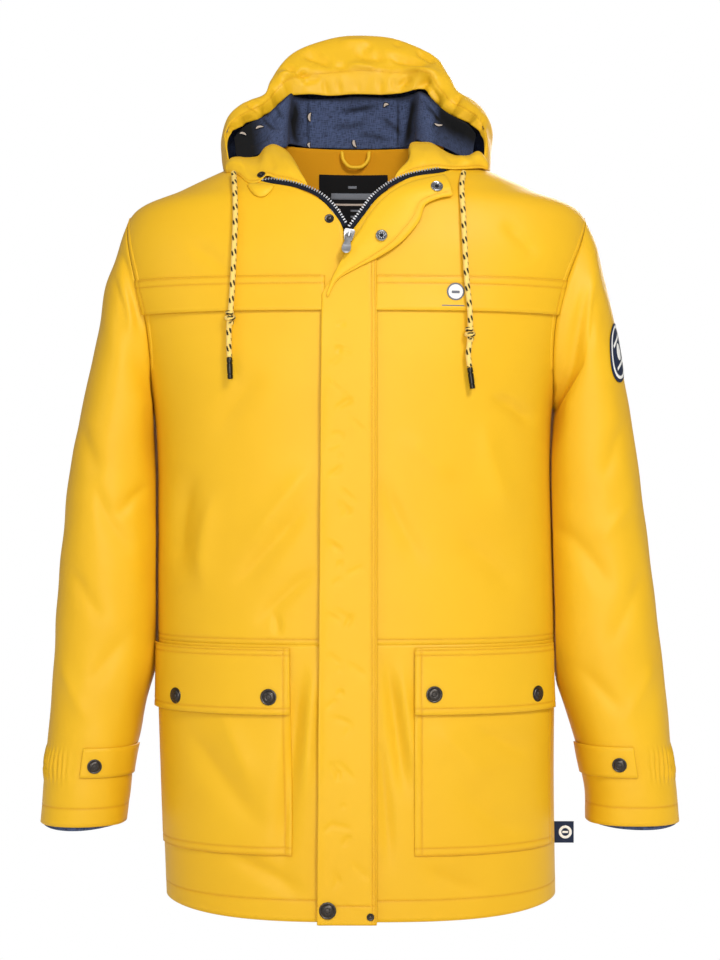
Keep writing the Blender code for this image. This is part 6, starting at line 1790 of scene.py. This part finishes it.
class RAINCOAT_OT_body(bpy.types.Operator):
    """Fronts, back, skirts, yokes, pockets and flaps"""
    bl_idname = "raincoat.body"
    bl_label = "Body Panels"

    def execute(self, context):
        return run(make_body)


class RAINCOAT_OT_placket(bpy.types.Operator):
    """Placket with its turned-back top"""
    bl_idname = "raincoat.placket"
    bl_label = "Placket"

    def execute(self, context):
        return run(make_placket)


class RAINCOAT_OT_sleeves(bpy.types.Operator):
    """Sleeves, cuff linings and cuff tabs"""
    bl_idname = "raincoat.sleeves"
    bl_label = "Sleeves"

    def execute(self, context):
        return run(make_sleeves)


class RAINCOAT_OT_zip(bpy.types.Operator):
    """Open zip tapes, their teeth and the slider with its tab"""
    bl_idname = "raincoat.zip"
    bl_label = "Zip"

    def execute(self, context):
        return run(make_tapes, make_teeth, make_slider)


class RAINCOAT_OT_hood(bpy.types.Operator):
    """Hood and its lining"""
    bl_idname = "raincoat.hood"
    bl_label = "Hood"

    def execute(self, context):
        return run(make_hood, make_hood_lining)


class RAINCOAT_OT_collars(bpy.types.Operator):
    """Collar facings, neck facing, label and hanger loop"""
    bl_idname = "raincoat.collars"
    bl_label = "Collars and Neck"

    def execute(self, context):
        return run(make_collars, make_neck)


class RAINCOAT_OT_snaps(bpy.types.Operator):
    """Snap caps, studs and sockets"""
    bl_idname = "raincoat.snaps"
    bl_label = "Snap Fasteners"

    def execute(self, context):
        return run(make_snaps)


class RAINCOAT_OT_prints(bpy.types.Operator):
    """Generic marks on the chest, sleeve and labels"""
    bl_idname = "raincoat.prints"
    bl_label = "Labels and Prints"

    def execute(self, context):
        return run(make_prints)


class RAINCOAT_OT_thread(bpy.types.Operator):
    """Stitches of all the sewn lines"""
    bl_idname = "raincoat.thread"
    bl_label = "Sewing Thread"

    def execute(self, context):
        return run(make_thread)


OPERATORS = (RAINCOAT_OT_stage, RAINCOAT_OT_cords, RAINCOAT_OT_body, RAINCOAT_OT_placket, RAINCOAT_OT_sleeves,
             RAINCOAT_OT_zip, RAINCOAT_OT_hood, RAINCOAT_OT_collars, RAINCOAT_OT_snaps, RAINCOAT_OT_prints,
             RAINCOAT_OT_thread)


class RAINCOAT_PT_parts(bpy.types.Panel):
    """The coat's settings and the operators that make its pieces"""
    bl_idname = "RAINCOAT_PT_parts"
    bl_label = "Hooded Raincoat"
    bl_space_type = "VIEW_3D"
    bl_region_type = "UI"
    bl_category = "Raincoat"

    def draw(self, context):
        for group in (context.scene.raincoat_sizes, context.scene.raincoat_colours):
            box = self.layout.box()
            for name in group.__annotations__:
                box.prop(group, name)
        for operator in OPERATORS:
            self.layout.operator(operator.bl_idname)


CLASSES = (RaincoatSizes, RaincoatColours, *OPERATORS, RAINCOAT_PT_parts)


def register():
    for made in CLASSES:
        bpy.utils.register_class(made)
    bpy.types.Scene.raincoat_sizes = bpy.props.PointerProperty(type=RaincoatSizes)
    bpy.types.Scene.raincoat_colours = bpy.props.PointerProperty(type=RaincoatColours)


def unregister():
    del bpy.types.Scene.raincoat_colours
    del bpy.types.Scene.raincoat_sizes
    for made in reversed(CLASSES):
        bpy.utils.unregister_class(made)


def main():
    register()
    for operator in OPERATORS:
        group, name = operator.bl_idname.split(".")
        if getattr(getattr(bpy.ops, group), name)() != {"FINISHED"}:
            raise RuntimeError(operator.bl_label + " was not made")


if __name__ == "__main__":
    main()
